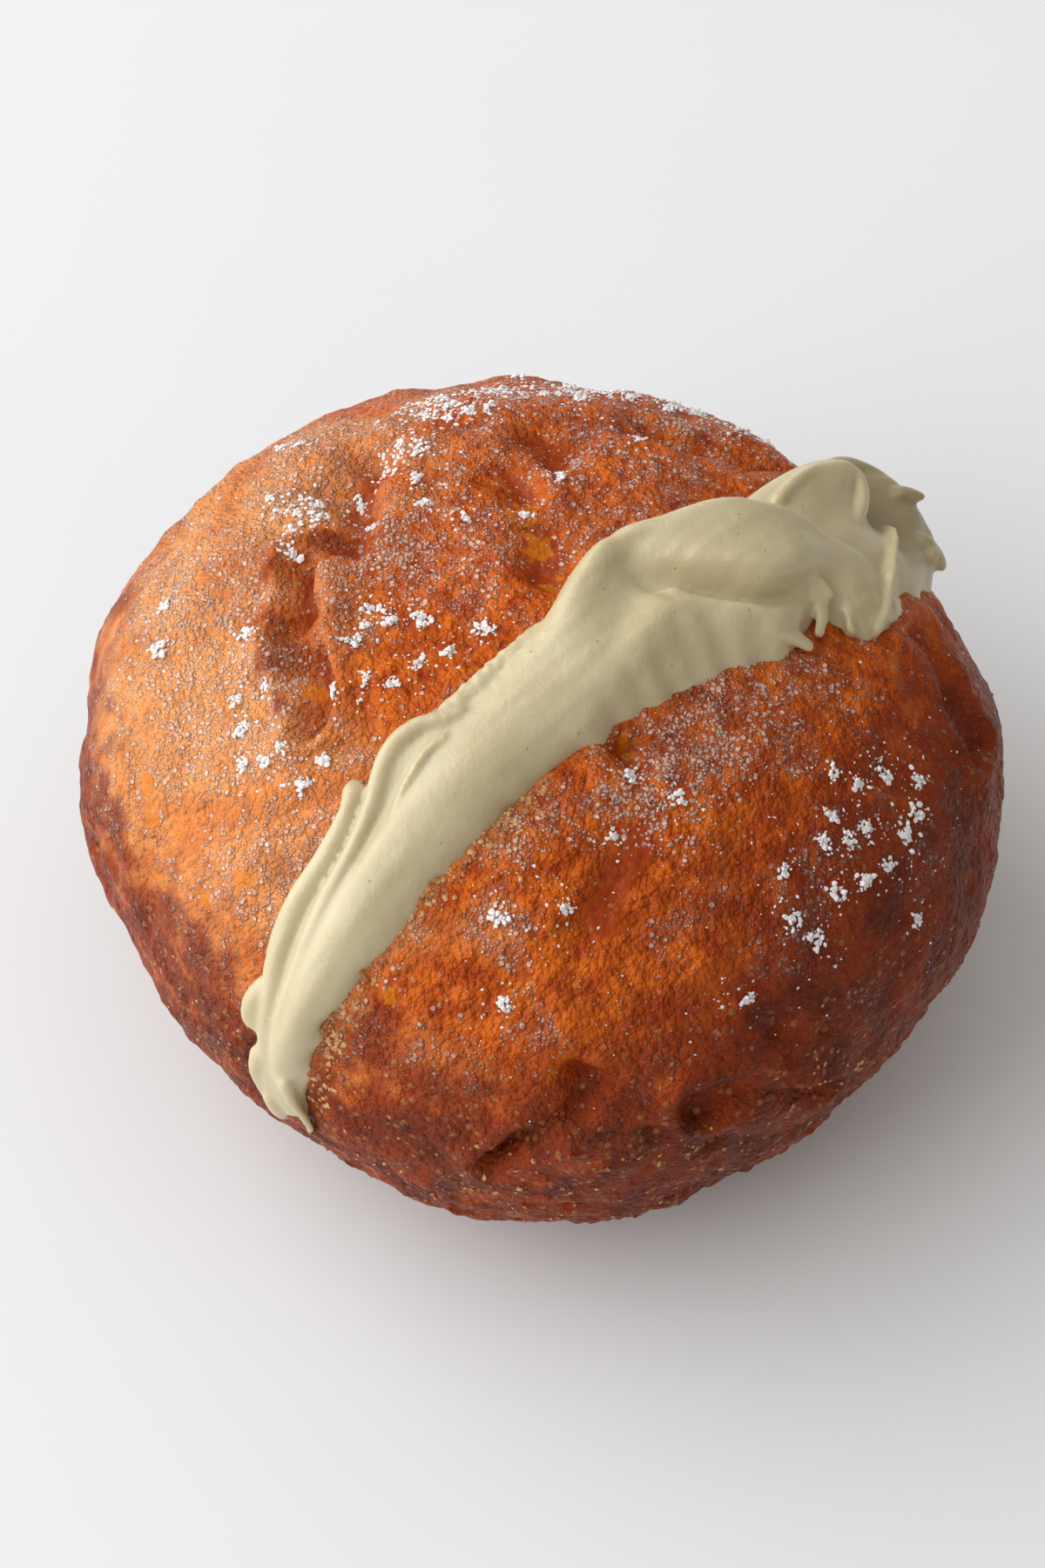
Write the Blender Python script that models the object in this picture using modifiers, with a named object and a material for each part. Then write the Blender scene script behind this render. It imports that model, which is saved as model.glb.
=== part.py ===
"""Filled doughnut: a fried bun of dough, cut along its top, with a ribbon of cream in the cut."""

import math
import random

import bmesh
import bpy
import numpy as np
from mathutils import Vector, noise
from mathutils.bvhtree import BVHTree

# Lengths are in millimetres and angles in degrees. Mesh points are made in metres.
MM = 0.001
GAP = 0.35

# The bun: a full round form about its heart, with a flat foot where it rested.
HALF_WIDTH = 48.0
HALF_DEPTH = 47.2
HEART_HEIGHT = 29.0
TOP_RISE = 31.0
BOTTOM_DROP = 30.5
FULLNESS = 2.3
# The heart's place in plan, which centres the uneven whole on the origin.
CENTRE_SHIFT = (-0.26, 0.67)
# Cosine and sine parts of the plan's 2, 3 and 4 lobes.
PLAN_LOBES = ((0.0, -0.0265), (0.0044, 0.0128), (0.0153, -0.0032))
# Broad swells of the crust: height, spacing and the noise's offset.
SWELLS = ((0.9, 13.0, 40.0), (0.45, 5.5, 70.0))
# How far the creases wander from their lines, and the spacing of the turns.
WANDER = 2.6
WANDER_SPACING = 6.0
WANDER_OFFSETS = (9.3, 18.7, 4.5)
CRUST_DETAIL = 7
CRUST_TRIANGLES = 6900

# The cut: straight in plan, its plane turned from +X and set off from the heart.
CUT_TURN = 42.4
CUT_OFFSET = -10.6
# Along the cut: place, half width at the crust, height of the floor.
CUT_STATIONS = ((-58, 1.8, 25.0), (-46, 2.5, 26.0), (-30, 4.0, 26.5), (0, 4.4, 27.5),
                (30, 3.8, 31.0), (46, 2.4, 35.0), (58, 2.0, 37.0))
CUT_FLOOR_HALF = 1.0
CUT_TOP = 74.0
LIP_DIP = 1.5
LIP_REACH = 3.2

# Creases of the crust: line of (azimuth, elevation) from the heart, width, depth, raised lip.
CREASES = {
    "upper left dent": (((128, 42), (141, 48), (154, 52)), 2.6, 2.6, 0.4),
    "burnt crease": (((163, 48), (176, 49), (-168, 50), (-156, 49)), 1.6, 3.0, 1.0),
    "long crease by the cream": (((102, 57), (100, 62), (96, 71), (79, 84)), 2.3, 2.0, 0.3),
    "dent behind it": (((92, 50), (85, 51)), 2.6, 1.8, 0.3),
    "right crease": (((6, 26), (-1, 23), (-5, 17)), 1.8, 1.6, 0.7),
    "hollow beside the cream": (((-58, 57),), 2.2, 2.4, 0.0),
    "broad recess": (((-70, 44), (-78, 35)), 4.5, 1.2, 0.2),
    "front crack": (((-85, 18), (-91, 9), (-95, 6)), 1.6, 2.8, 0.4),
    "lower seam": (((-70, 10), (-64, 10), (-59, 4), (-53, 2)), 1.6, 1.4, 0.7),
    "left dent": (((-163, 9),), 2.0, 1.4, 0.0),
    "left edge notch": (((-166, 7), (-168, 2)), 2.0, 1.2, 0.2),
    "back crease": (((48, 30), (58, 38), (70, 40)), 2.2, 2.0, 0.5),
    "back fold": (((118, 12), (102, 17), (92, 12)), 2.0, 1.8, 0.6),
    "far left fold": (((150, 10), (142, 18)), 2.2, 1.6, 0.4),
}
# Small pits: azimuth, elevation, radius.
PITS = ((-59, 15, 1.1), (-52, 11, 1.0), (-58, 11, 0.9), (-70, 10, 0.9), (-69, 1, 1.0),
        (-77, 8, 1.0), (-86, -6, 1.0), (-40, 4, 1.1), (20, 8, 1.1), (70, 5, 1.1), (165, -4, 1.0))
PIT_DEPTH = 0.9
# A knob of crust under the front crack: azimuth, elevation, radius, height.
KNOBS = ((-86, 8.5, 2.4, 0.6), (179, 4, 1.8, 0.6))

# Sections of the cream across the cut: angle along it, offsets of eight points, their lifts over the crust.
SECTIONS = (
    (-4, (-8.2, -8.6, -9.2, -10, -10.8, -11.5, -12, -12.4), (-0.2, 0.3, 0.6, 0.7, 0.7, 0.6, 0.3, -0.2)),
    (1, (-7.4, -7.8, -8.8, -10, -11.2, -12.4, -13.4, -13.9), (-0.3, 0.6, 1.1, 1.2, 1.2, 1, 0.5, -0.4)),
    (8, (-7.2, -7.7, -8.8, -10, -11.2, -12.2, -13, -13.4), (-0.3, 0.7, 1.2, 1.4, 1.6, 1.3, 0.5, -0.6)),
    (16, (-6.6, -7.2, -8.4, -9.8, -11.2, -12.4, -13.4, -14), (-0.3, 0.6, 1, 1.5, 2.1, 1.9, 0.9, -0.8)),
    (26, (-4.8, -5.4, -6.8, -8.8, -10.8, -12.6, -14.2, -15.2), (-0.3, 0.6, 1, 1.5, 2.5, 2.3, 1.1, -1)),
    (36, (-4.2, -4.9, -6.2, -7.8, -9.8, -12, -14.2, -15.8), (-0.3, 0.6, 1, 1.4, 2.7, 2.6, 1.2, -1.2)),
    (40, (-4.6, -5.2, -6.4, -7.8, -9.6, -11.8, -14.1, -15.8), (-0.3, 0.7, 1.2, 1.5, 2.8, 2.7, 1.2, -1.2)),
    (44, (-4.7, -5, -6, -7.4, -9.2, -11.6, -14, -15.8), (-0.3, 0.8, 1.4, 1.7, 2.8, 2.8, 1.3, -1.3)),
    (48, (-3.6, -3.9, -5, -6.8, -8.9, -11.4, -13.9, -15.8), (-0.3, 0.9, 1.7, 1.8, 2.9, 2.9, 1.4, -1.3)),
    (53, (-2, -2.4, -3.9, -6, -8.6, -11.2, -13.8, -15.7), (-0.3, 1, 2, 2, 3, 3, 1.5, -1.3)),
    (60, (-2.6, -3, -4.4, -6.2, -8.4, -11, -13.7, -15.6), (-0.3, 1, 2.1, 2.4, 3.1, 3.1, 1.6, -1.3)),
    (68, (-2.6, -3.2, -4.6, -6.4, -8.4, -11, -13.6, -15.6), (-0.3, 0.9, 1.9, 2.7, 3.2, 3.1, 1.7, -1.2)),
    (78, (-2.8, -3.3, -4.6, -6.4, -8.4, -11.2, -14, -15.8), (-0.3, 1.3, 2.6, 3.3, 3.6, 3.4, 2, -0.8)),
    (86, (-2.4, -2.8, -4.2, -6, -8.4, -10.6, -13.4, -16), (-0.3, 1.9, 3.6, 4.1, 4.1, 4, 3.1, -0.5)),
    (94, (-0.9, -1, -2.4, -4.2, -6.2, -8.6, -12.6, -16.9), (-0.3, 2.4, 4.7, 4.8, 4.2, 3.9, 4, -0.4)),
    (101, (0.3, 0.2, -1.2, -2.8, -4.4, -6.8, -11.6, -18), (-0.3, 2.6, 5.4, 5.1, 4, 3.3, 4.5, -0.4)),
    (104, (0.3, 0.1, -1.4, -3.0, -4.7, -7.0, -12.0, -18.2), (-0.3, 2.6, 5.5, 5.0, 3.7, 2.6, 4.4, -0.4)),
    (107, (0.4, 0.1, -1.8, -3.8, -6.2, -8.2, -12.6, -18.6), (-0.3, 3.0, 6.0, 5.6, 4.9, 2.6, 4.2, -0.4)),
    (112, (-0.4, -0.9, -3.4, -7, -10.4, -11.2, -14.8, -18.8), (-0.3, 3.2, 6.5, 6.6, 6.3, 2.4, 4.1, -0.4)),
    (117, (-1, -1.6, -4.4, -9.4, -14, -14, -16.8, -19.2), (-0.3, 3.4, 6.8, 7.1, 6.9, 2.4, 3.7, -0.4)),
    (122, (-2, -2.6, -5.6, -10.6, -15.2, -15.4, -17.6, -19.6), (-0.3, 3.4, 6.8, 7.1, 6.7, 2.4, 3, -0.4)),
    (126, (-3.6, -4.4, -7.4, -11.4, -15, -15.8, -17, -18.2), (-0.3, 3, 6.4, 6.6, 5.8, 3, 2, -0.4)),
    (129.5, (-6, -6.8, -9.8, -12.4, -14.8, -15.9, -16.9, -17.8), (-0.3, 2.8, 6, 5.6, 5, 3.3, 2, -0.4)),
    (132, (-7.8, -8.6, -11.2, -13.6, -15.6, -17.2, -18.6, -19.6),
    (-0.3, 2.7, 5, 4.9, 4.2, 3.1, 1.8, -0.4)),
    (134, (-9.4, -10.2, -12.4, -14.4, -16.2, -18, -19.8, -21.4),
    (-0.3, 2.6, 4.4, 4.3, 3.8, 3.1, 2, -0.4)),
    (139, (-12.4, -13, -14.8, -16.4, -18, -19.4, -20.8, -22), (-0.3, 1.8, 3, 3, 2.7, 2.2, 1.3, -0.4)),
    (145, (-15.4, -16, -17, -18, -19, -20, -20.8, -21.4), (-0.3, 0.6, 1.2, 1.3, 1.2, 0.9, 0.5, -0.3)),
)
# Sections of the lobe behind it.
BACK_SECTIONS = (
    (126, (-3.6, -4.2, -5.6, -7.6, -9.6, -11.6, -13.4, -14.4),
    (-0.3, 0.8, 1.6, 1.8, 1.8, 1.6, 0.8, -0.3)),
    (132, (-2.5, -3, -5, -8, -11, -14, -17, -18.5), (-0.3, 2, 3.2, 3.4, 3.2, 2.6, 1.4, -0.3)),
    (140, (-1.8, -2.2, -4.4, -6.8, -9.4, -12.5, -16.5, -19.4), (-0.3, 3, 4.9, 4.2, 3.4, 3.4, 2.4, -0.4)),
    (148, (-0.9, -1.3, -3.4, -5.2, -7.4, -10.6, -15.4, -19.4), (-0.3, 3, 5, 5.4, 3.8, 2.2, 2.4, -0.4)),
    (153, (-0.5, -0.9, -2.5, -4.6, -7.6, -11.5, -15.6, -18.8), (-0.3, 2, 2.4, 1.2, 0.7, 0.6, 1.4, -0.4)),
    (160, (-1, -1.3, -2.9, -5.6, -8.4, -11.6, -14.6, -17.4), (-0.3, 2.6, 4.4, 5.2, 4.8, 3.6, 2.4, -0.4)),
    (164, (-3.6, -4, -5.6, -7.6, -9.6, -11.8, -14, -15.6), (-0.3, 1.4, 2.6, 3, 2.6, 2.2, 1.5, -0.3)),
    (168, (-7, -7.4, -8.4, -9.6, -10.8, -12, -13, -13.6), (-0.2, 0.4, 0.8, 0.9, 0.8, 0.6, 0.3, -0.2)),
)
# How far the right edge wavers, and the spacing of its waves in degrees.
EDGE_WAVER = 1.1
EDGE_SPACING = 5.0
UNDERSIDE = 3.4

# Rolls, leaves and strings of cream: angle, offset, lift, half width, half thickness.
STRANDS = {
    "low fold": ((47, -2.0, 1.2, 1.3, 0.9), (45, -2.9, 1.1, 1.05, 1.1), (42, -4.0, 1.0, 1.0, 1.1),
                 (36, -5.0, 0.8, 1.2, 1.2), (30, -5.4, 0.8, 1.3, 1.3), (24, -6.3, 0.8, 1.3, 1.2),
                 (17, -7.8, 0.7, 1.2, 1.1), (9, -9.0, 0.6, 1.1, 0.9), (3, -9.4, 0.5, 0.8, 0.7)),
    "middle fold": ((66, -5.4, 1.9, 0.7, 0.7), (62, -4.1, 2.0, 0.9, 0.9), (58.5, -3.0, 1.8, 1.0, 1.1),
                    (55, -2.6, 1.6, 1.1, 1.2), (51, -3.4, 1.5, 1.1, 1.2), (46, -5.3, 1.3, 1.0, 1.2),
                    (40, -6.9, 1.2, 0.9, 1.2), (32, -8.1, 1.2, 1.0, 1.1), (23, -9.5, 1.1, 1.0, 1.0),
                    (14, -10.3, 1.0, 1.0, 0.9), (6, -10.8, 0.8, 0.9, 0.7)),
    "inner flap": ((61, -6.0, 2.3, 0.4, 0.5), (57, -5.8, 2.1, 0.5, 0.8), (52, -6.6, 1.9, 0.5, 0.9),
                   (47, -7.8, 1.7, 0.4, 0.7)),
    "rough high fold": ((60, -3.4, 1.0, 0.9, 0.9), (66, -3.7, 1.1, 1.1, 1.2), (73, -3.5, 1.1, 1.2, 1.2),
                        (80, -3.3, 1.1, 1.1, 1.1), (87, -2.7, 0.9, 0.8, 0.8)),
    "knob": ((19, -6.8, 0.5, 0.8, 0.8), (15.5, -6.3, 0.8, 1.2, 1.0), (12.5, -6.5, 0.8, 1.3, 1.0),
             (10.5, -7.6, 0.6, 1.1, 0.8)),
    "left of the tip": ((8, -8.4, 0.8, 1.2, 0.9), (3, -8.0, 0.7, 1.0, 0.8), (-1, -8.4, 0.5, 0.8, 0.6),
                        (-4, -9.2, 0.4, 0.6, 0.5)),
    "foot of the tip": ((0, -9.6, 0.9, 1.1, 0.8), (-4, -10.2, 0.6, 1.0, 0.7), (-6, -11.0, 0.3, 0.7, 0.5)),
    "curl": ((7, -12.0, 1.2, 0.9, 0.8), (3, -12.9, 1.1, 0.7, 0.6), (0, -13.9, 0.8, 0.5, 0.5),
             (-3, -14.4, 0.5, 0.45, 0.4), (-5, -14.0, 0.3, 0.4, 0.35)),
    "torn string": ((118, -15.8, 1.6, 2.2, 0.9), (120.5, -17.8, 1.1, 1.8, 0.8),
                    (122.5, -19.4, 0.6, 1.2, 0.6),
                    (124, -20.6, 0.3, 0.7, 0.4)),
    "second string": ((127.5, -15.4, 2.0, 1.2, 0.9), (128.5, -17.2, 1.7, 0.9, 0.9),
                      (127.5, -18.8, 1.1, 0.7, 0.7),
                      (126, -19.8, 0.5, 0.6, 0.5)),
    "third string": ((134, -17.0, 2.4, 0.9, 0.8), (133, -18.8, 1.6, 0.7, 0.8),
                     (132.5, -20.2, 0.9, 0.6, 0.6),
                     (133, -21.2, 0.4, 0.5, 0.5)),
    "small ridge": ((103.5, -8.2, 3.0, 0.4, 0.5), (105.5, -9.2, 3.5, 0.45, 0.6),
                    (107, -10.4, 3.6, 0.35, 0.5)),
    "fine ridge": ((125, -14.6, 4.3, 0.45, 0.7), (128, -16.4, 3.3, 0.45, 0.7),
                   (129.5, -18.0, 2.4, 0.45, 0.7)),
    "veil": ((152, -10.4, 0.8, 0.5, 1.0), (149, -13.0, 2.2, 0.5, 1.5), (144, -16.6, 2.2, 0.55, 1.7),
             (140, -20.0, 1.4, 0.55, 1.4), (137, -22.2, 0.6, 0.5, 0.8)),
    "back leaf rim": ((132, -6.0, 3.6, 0.7, 0.8), (139, -4.6, 4.4, 0.7, 0.8), (145, -4.0, 4.4, 0.7, 0.8),
                      (148.5, -5.6, 4.7, 0.8, 0.8), (147, -8.6, 4.0, 0.8, 0.8),
                      (143, -11.6, 2.4, 0.9, 0.7)),
    "back rim": ((150, -1.8, 2.8, 0.7, 0.9), (156, -1.6, 3.6, 0.7, 0.9), (160, -3.6, 4.2, 0.7, 0.9),
                 (161, -7.4, 4.0, 0.7, 0.9), (161.5, -12.0, 3.0, 0.8, 0.9), (158, -15.6, 2.4, 0.8, 0.9)),
    "peak": ((158, -6.4, 3.8, 1.6, 1.2), (160, -7.6, 5.0, 1.2, 0.9), (161.5, -8.6, 5.9, 0.8, 0.6)),
    "spike": ((158, -12.0, 2.4, 1.6, 1.2), (161, -14.0, 2.5, 1.1, 1.0), (163.5, -15.4, 2.3, 0.7, 0.6)),
}
CREAM_VOXEL = 0.42
CREAM_TRIANGLES = 2900

# Lumps of sugar on the crust: azimuth, elevation, spread, count.
SUGAR_PATCHES = ((-33, 29, 2.6, 5), (-25, 32, 2.0, 3), (-40, 29, 1.4, 2), (-47, 31, 1.6, 2),
                 (-20, 29, 1.6, 1),
                 (-23, 24, 1.6, 1), (-30, 22, 1.2, 1), (-33, 14, 1.5, 1), (-95, 25, 0.6, 1),
                 (-63, 22, 0.6, 1),
                 (-50, 23, 0.8, 1), (-75, 47, 0.8, 1), (-59, 49, 0.8, 1), (-65, 52, 0.8, 1),
                 (-93, 38, 0.8, 1),
                 (-86, 37, 0.8, 1), (-178, 62, 2.0, 5), (-150, 74, 1.6, 2), (-146, 65, 0.8, 1),
                 (-148, 57, 1.6, 3),
                 (-178, 42, 1.2, 1), (-163, 40, 1.8, 3), (-147, 41, 2.0, 4), (-136, 48, 0.8, 1),
                 (-135, 35, 0.8, 1),
                 (-150, 36, 0.8, 1), (174, 30, 2.4, 2), (148, 42, 2.6, 5), (141, 45, 1.6, 2),
                 (127, 55, 1.2, 2),
                 (119, 47, 1.6, 2), (122, 66, 0.8, 1), (102, 69, 0.8, 1), (84, 58, 0.8, 2),
                 (108, 40, 2.4, 5),
                 (93, 34, 2.6, 3), (87, 27, 2.4, 3), (78, 31, 2.4, 3), (69, 41, 1.4, 1), (66, 24, 2.4, 3),
                 (57, 24, 2.4, 2), (130, 22, 6.0, 3))
SUGAR_RADII = (0.7, 1.25)
SUGAR_FLATNESS = 0.62
SUGAR_CLEAR = 2.2
SUGAR_APART = 2.8
SUGAR_SEED = 7


def unit(azimuth, elevation):
    """Unit direction from the heart."""
    turn, rise = math.radians(azimuth), math.radians(elevation)
    return np.array([math.cos(rise) * math.cos(turn), math.cos(rise) * math.sin(turn), math.sin(rise)])


HEART = np.array([CENTRE_SHIFT[0], CENTRE_SHIFT[1], HEART_HEIGHT])
ALONG = unit(CUT_TURN, 0)
ACROSS = unit(CUT_TURN + 90, 0)
UP = np.array([0.0, 0.0, 1.0])


def crust_radius(directions):
    """Distance from the heart to the smooth crust, along unit directions."""
    x, y, z = directions.T
    turn = np.arctan2(y, x)
    level = np.hypot(x, y)
    reach = 1 / np.hypot(np.cos(turn) / HALF_WIDTH, np.sin(turn) / HALF_DEPTH)
    for lobes, (cosine, sine) in enumerate(PLAN_LOBES, start=2):
        reach = reach * (1 + cosine * np.cos(lobes * turn) + sine * np.sin(lobes * turn))
    rise = np.where(z > 0, TOP_RISE, BOTTOM_DROP)
    return ((level / reach) ** FULLNESS + (np.abs(z) / rise) ** FULLNESS) ** (-1 / FULLNESS)


def on_crust(azimuth, elevation):
    """Point of the smooth crust, from the heart."""
    direction = unit(azimuth, elevation)
    return direction * crust_radius(direction[None, :])[0]


def distance_to_line(points, line):
    """Shortest distance from each point to a line through some points, or to a single point."""
    nearest = np.linalg.norm(points - line[0], axis=1)
    for start, end in zip(line[:-1], line[1:]):
        run = end - start
        part = np.clip((points - start) @ run / (run @ run), 0, 1)
        nearest = np.minimum(nearest, np.linalg.norm(points - start - part[:, None] * run, axis=1))
    return nearest


def turns_at(points):
    """How far the crust's marks wander at each point, along three axes, from -1 to 1."""
    places = [Vector(point / WANDER_SPACING) for point in points]
    shifts = [Vector((offset,) * 3) for offset in WANDER_OFFSETS]
    return np.array([[noise.noise(place + shift) for shift in shifts] for place in places])


def crust_relief(points):
    """Height of the swells, creases, pits and knobs at points of the smooth crust, from the heart."""
    relief = np.zeros(len(points))
    for height, spacing, offset in SWELLS:
        shift = Vector((offset,) * 3)
        relief += height * np.array([noise.noise(Vector(point / spacing) + shift) for point in points])
    turns = turns_at(points)
    strength = 1 + 0.4 * turns.sum(axis=1)
    for line, width, depth, lip in CREASES.values():
        away = distance_to_line(points + WANDER * turns, [on_crust(*place) for place in line])
        relief -= strength * depth * np.exp(-(away / width) ** 2)
        relief += strength * lip * np.exp(-((away - 2 * width) / width) ** 2)
    for azimuth, elevation, radius in PITS:
        apart = distance_to_line(points, [on_crust(azimuth, elevation)])
        relief -= PIT_DEPTH * np.exp(-(apart / radius) ** 2)
    for azimuth, elevation, radius, height in KNOBS:
        relief += height * np.exp(-(distance_to_line(points, [on_crust(azimuth, elevation)]) / radius) ** 2)
    return relief


def lip_dip(points):
    """Depth to which the crust rolls in towards the cut."""
    away = points @ ACROSS - CUT_OFFSET
    above = 1 / (1 + np.exp(-points[:, 2] / 2))
    return LIP_DIP * np.exp(-(away / LIP_REACH) ** 2) * above


def crust_points(directions):
    """Points of the uneven crust, with the foot pressed flat on the floor."""
    smooth = directions * crust_radius(directions)[:, None]
    lift = crust_relief(smooth) - lip_dip(smooth)
    points = smooth + directions * lift[:, None] + HEART
    points[:, 2] = np.maximum(points[:, 2], 0)
    return points


def above_crust(angle, offset, lift):
    """Points over the smooth crust, from the angle along the cut, the offset across it and the lift."""
    angle, offset, lift = np.broadcast_arrays(np.radians(angle), offset, lift)
    outward = -np.cos(angle)[..., None] * ALONG + np.sin(angle)[..., None] * UP
    start = np.asarray(offset, float)[..., None] * ACROSS
    near, far = np.zeros(angle.shape), np.full(angle.shape, 80.0)
    for _ in range(30):
        middle = (near + far) / 2
        point = start + middle[..., None] * outward
        length = np.linalg.norm(point, axis=-1)
        directions = (point / length[..., None]).reshape(-1, 3)
        inside = length < crust_radius(directions).reshape(angle.shape)
        near, far = np.where(inside, middle, near), np.where(inside, far, middle)
    return start + (near + lift)[..., None] * outward + HEART


def smooth_rows(rows, count):
    """Rows of a table, spread along a smooth curve through them."""
    rows = np.array(rows, float)
    padded = np.vstack([2 * rows[0] - rows[1], rows, 2 * rows[-1] - rows[-2]])
    places = np.linspace(0, len(rows) - 1.0001, count)
    index = places.astype(int)
    t = (places - index)[:, None]
    a, b, c, d = (padded[index + step] for step in range(4))
    return 0.5 * (2 * b + (c - a) * t + (2 * a - 5 * b + 4 * c - d) * t**2 + (3 * b - a - 3 * c + d) * t**3)


def section_rings(rows, stations, sides):
    """Rings of a ribbon of cream: a smooth curve through each section's points, closed below."""
    table = [(angle, *offsets, *lifts) for angle, offsets, lifts in rows]
    across = np.linspace(0, 1, sides)
    under = np.linspace(0, 1, sides // 2)[1:-1, None]
    rings = []
    for angle, *values in smooth_rows(table, stations):
        upper = smooth_rows(np.reshape(values, (2, -1)).T, sides)
        upper[:, 0] += EDGE_WAVER * noise.noise(Vector((angle / EDGE_SPACING, 0, 0))) * across**7
        lower = upper[-1] + (upper[0] - upper[-1]) * under - UNDERSIDE * np.sin(np.pi * under) * (0, 1)
        offset, lift = np.vstack([upper, lower]).T
        rings.append(above_crust(angle, offset, lift))
    return np.array(rings)


def strand_rings(rows, stations, sides):
    """Rings of a roll or a leaf of cream: elliptical sections with rounded ends."""
    angle, offset, lift, half_width, half_thickness = smooth_rows(rows, stations).T
    centres = above_crust(angle, offset, lift)
    outward = above_crust(angle, offset, lift + 1) - centres
    forward = np.gradient(centres, axis=0)
    sideways = np.cross(forward, outward)
    sideways /= np.linalg.norm(sideways, axis=1)[:, None]
    run = np.insert(np.cumsum(np.linalg.norm(np.diff(centres, axis=0), axis=1)), 0, 0)
    ends = np.clip(np.minimum(run, run[-1] - run) / half_width, 0.02, 1)
    ends = np.sqrt(1 - (1 - ends) ** 2)
    turn = np.linspace(0, 2 * np.pi, sides, endpoint=False)[None, :, None]
    across = (half_width * ends)[:, None, None] * np.cos(turn) * sideways[:, None]
    upward = (half_thickness * ends)[:, None, None] * np.sin(turn) * outward[:, None]
    return centres[:, None] + across + upward


def cut_rings():
    """Rings of the blade-shaped cut, along its length."""
    rings = []
    for place, half_width, floor in smooth_rows(CUT_STATIONS, 13):
        crust = HEART_HEIGHT + math.sqrt(max(0, 1 - (place / HALF_WIDTH) ** 2)) * TOP_RISE
        slope = (half_width - CUT_FLOOR_HALF) / max(8, crust - floor)
        top_half = CUT_FLOOR_HALF + slope * (CUT_TOP - floor)
        corners = ((-top_half, CUT_TOP), (-CUT_FLOOR_HALF, floor),
                   (CUT_FLOOR_HALF, floor), (top_half, CUT_TOP))
        rings.append([HEART * (1, 1, 0) + ALONG * place + ACROSS * (CUT_OFFSET + side) + UP * height
                      for side, height in corners])
    return np.array(rings)


def loft(shape, rings):
    """Adds a closed skin over rings of equal length to a bmesh."""
    grid = [[shape.verts.new(Vector(point) * MM) for point in ring] for ring in rings]
    for first, second in zip(grid[:-1], grid[1:]):
        for i in range(len(first)):
            j = (i + 1) % len(first)
            shape.faces.new((first[i], first[j], second[j], second[i]))
    for ring in (grid[0], grid[-1]):
        middle = shape.verts.new(sum((vert.co for vert in ring), Vector()) / len(ring))
        for i in range(len(ring)):
            shape.faces.new((ring[i], ring[(i + 1) % len(ring)], middle))


def material(name, colour, roughness):
    """Plain surface of a sub-part."""
    finish = bpy.data.materials.new(name)
    finish.use_nodes = True
    surface = finish.node_tree.nodes["Principled BSDF"]
    surface.inputs["Base Color"].default_value = (*colour, 1)
    surface.inputs["Roughness"].default_value = roughness
    surface.inputs["Metallic"].default_value = 0
    return finish


def collection(name):
    group = bpy.data.collections.new(name)
    bpy.context.scene.collection.children.link(group)
    return group


def add_object(name, shape, group, finish=None):
    """Object of a bmesh, with its faces pointing out."""
    bmesh.ops.recalc_face_normals(shape, faces=shape.faces)
    mesh = bpy.data.meshes.new(name)
    shape.to_mesh(mesh)
    shape.free()
    mesh.shade_smooth()
    if finish:
        mesh.materials.append(finish)
    made = bpy.data.objects.new(name, mesh)
    group.objects.link(made)
    return made


def helper(made):
    """Keeps a cutter out of the part."""
    made.hide_render = True
    made.display_type = "WIRE"
    return made


def apply_modifiers(made):
    """Replaces an object's mesh with its evaluated mesh."""
    bpy.context.view_layer.update()
    graph = bpy.context.evaluated_depsgraph_get()
    mesh = bpy.data.meshes.new_from_object(made.evaluated_get(graph))
    made.modifiers.clear()
    made.data = mesh


def boolean(made, operation, other, solver="EXACT"):
    """Applies a Boolean with one object, or with each object of a collection."""
    cut = made.modifiers.new("Boolean", "BOOLEAN")
    cut.operation = operation
    cut.solver = solver
    if isinstance(other, bpy.types.Collection):
        cut.operand_type = "COLLECTION"
        cut.collection = other
    else:
        cut.object = other
    apply_modifiers(made)


def set_order(made):
    """Puts a mesh's points and faces in an order that hangs on their places alone."""
    points = [tuple(vert.co) for vert in made.data.vertices]
    order = sorted(range(len(points)), key=points.__getitem__)
    rank = {old: new for new, old in enumerate(order)}
    faces = []
    for face in made.data.polygons:
        corners = [rank[vert] for vert in face.vertices]
        first = corners.index(min(corners))
        faces.append(tuple(corners[first:] + corners[:first]))
    made.data.clear_geometry()
    made.data.from_pydata([points[old] for old in order], [], sorted(faces))


def decimate(made, triangles):
    """Collapses an object's mesh to about a number of triangles."""
    set_order(made)
    made.data.calc_loop_triangles()
    thin = made.modifiers.new("Decimate", "DECIMATE")
    thin.ratio = min(1, triangles / len(made.data.loop_triangles))
    thin.use_collapse_triangulate = True
    apply_modifiers(made)


def keep_largest_body(made):
    """Drops loose scraps of a mesh."""
    shape = bmesh.new()
    shape.from_mesh(made.data)
    seen = set()
    bodies = []
    for start in shape.verts:
        if start in seen:
            continue
        seen.add(start)
        body, front = {start}, [start]
        while front:
            vert = front.pop()
            near = [edge.other_vert(vert) for edge in vert.link_edges]
            near = [other for other in near if other not in seen]
            seen.update(near)
            body.update(near)
            front.extend(near)
        bodies.append(body)
    largest = max(bodies, key=len)
    scraps = [vert for vert in shape.verts if vert not in largest]
    bmesh.ops.delete(shape, geom=scraps, context="VERTS")
    shape.to_mesh(made.data)
    shape.free()


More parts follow.
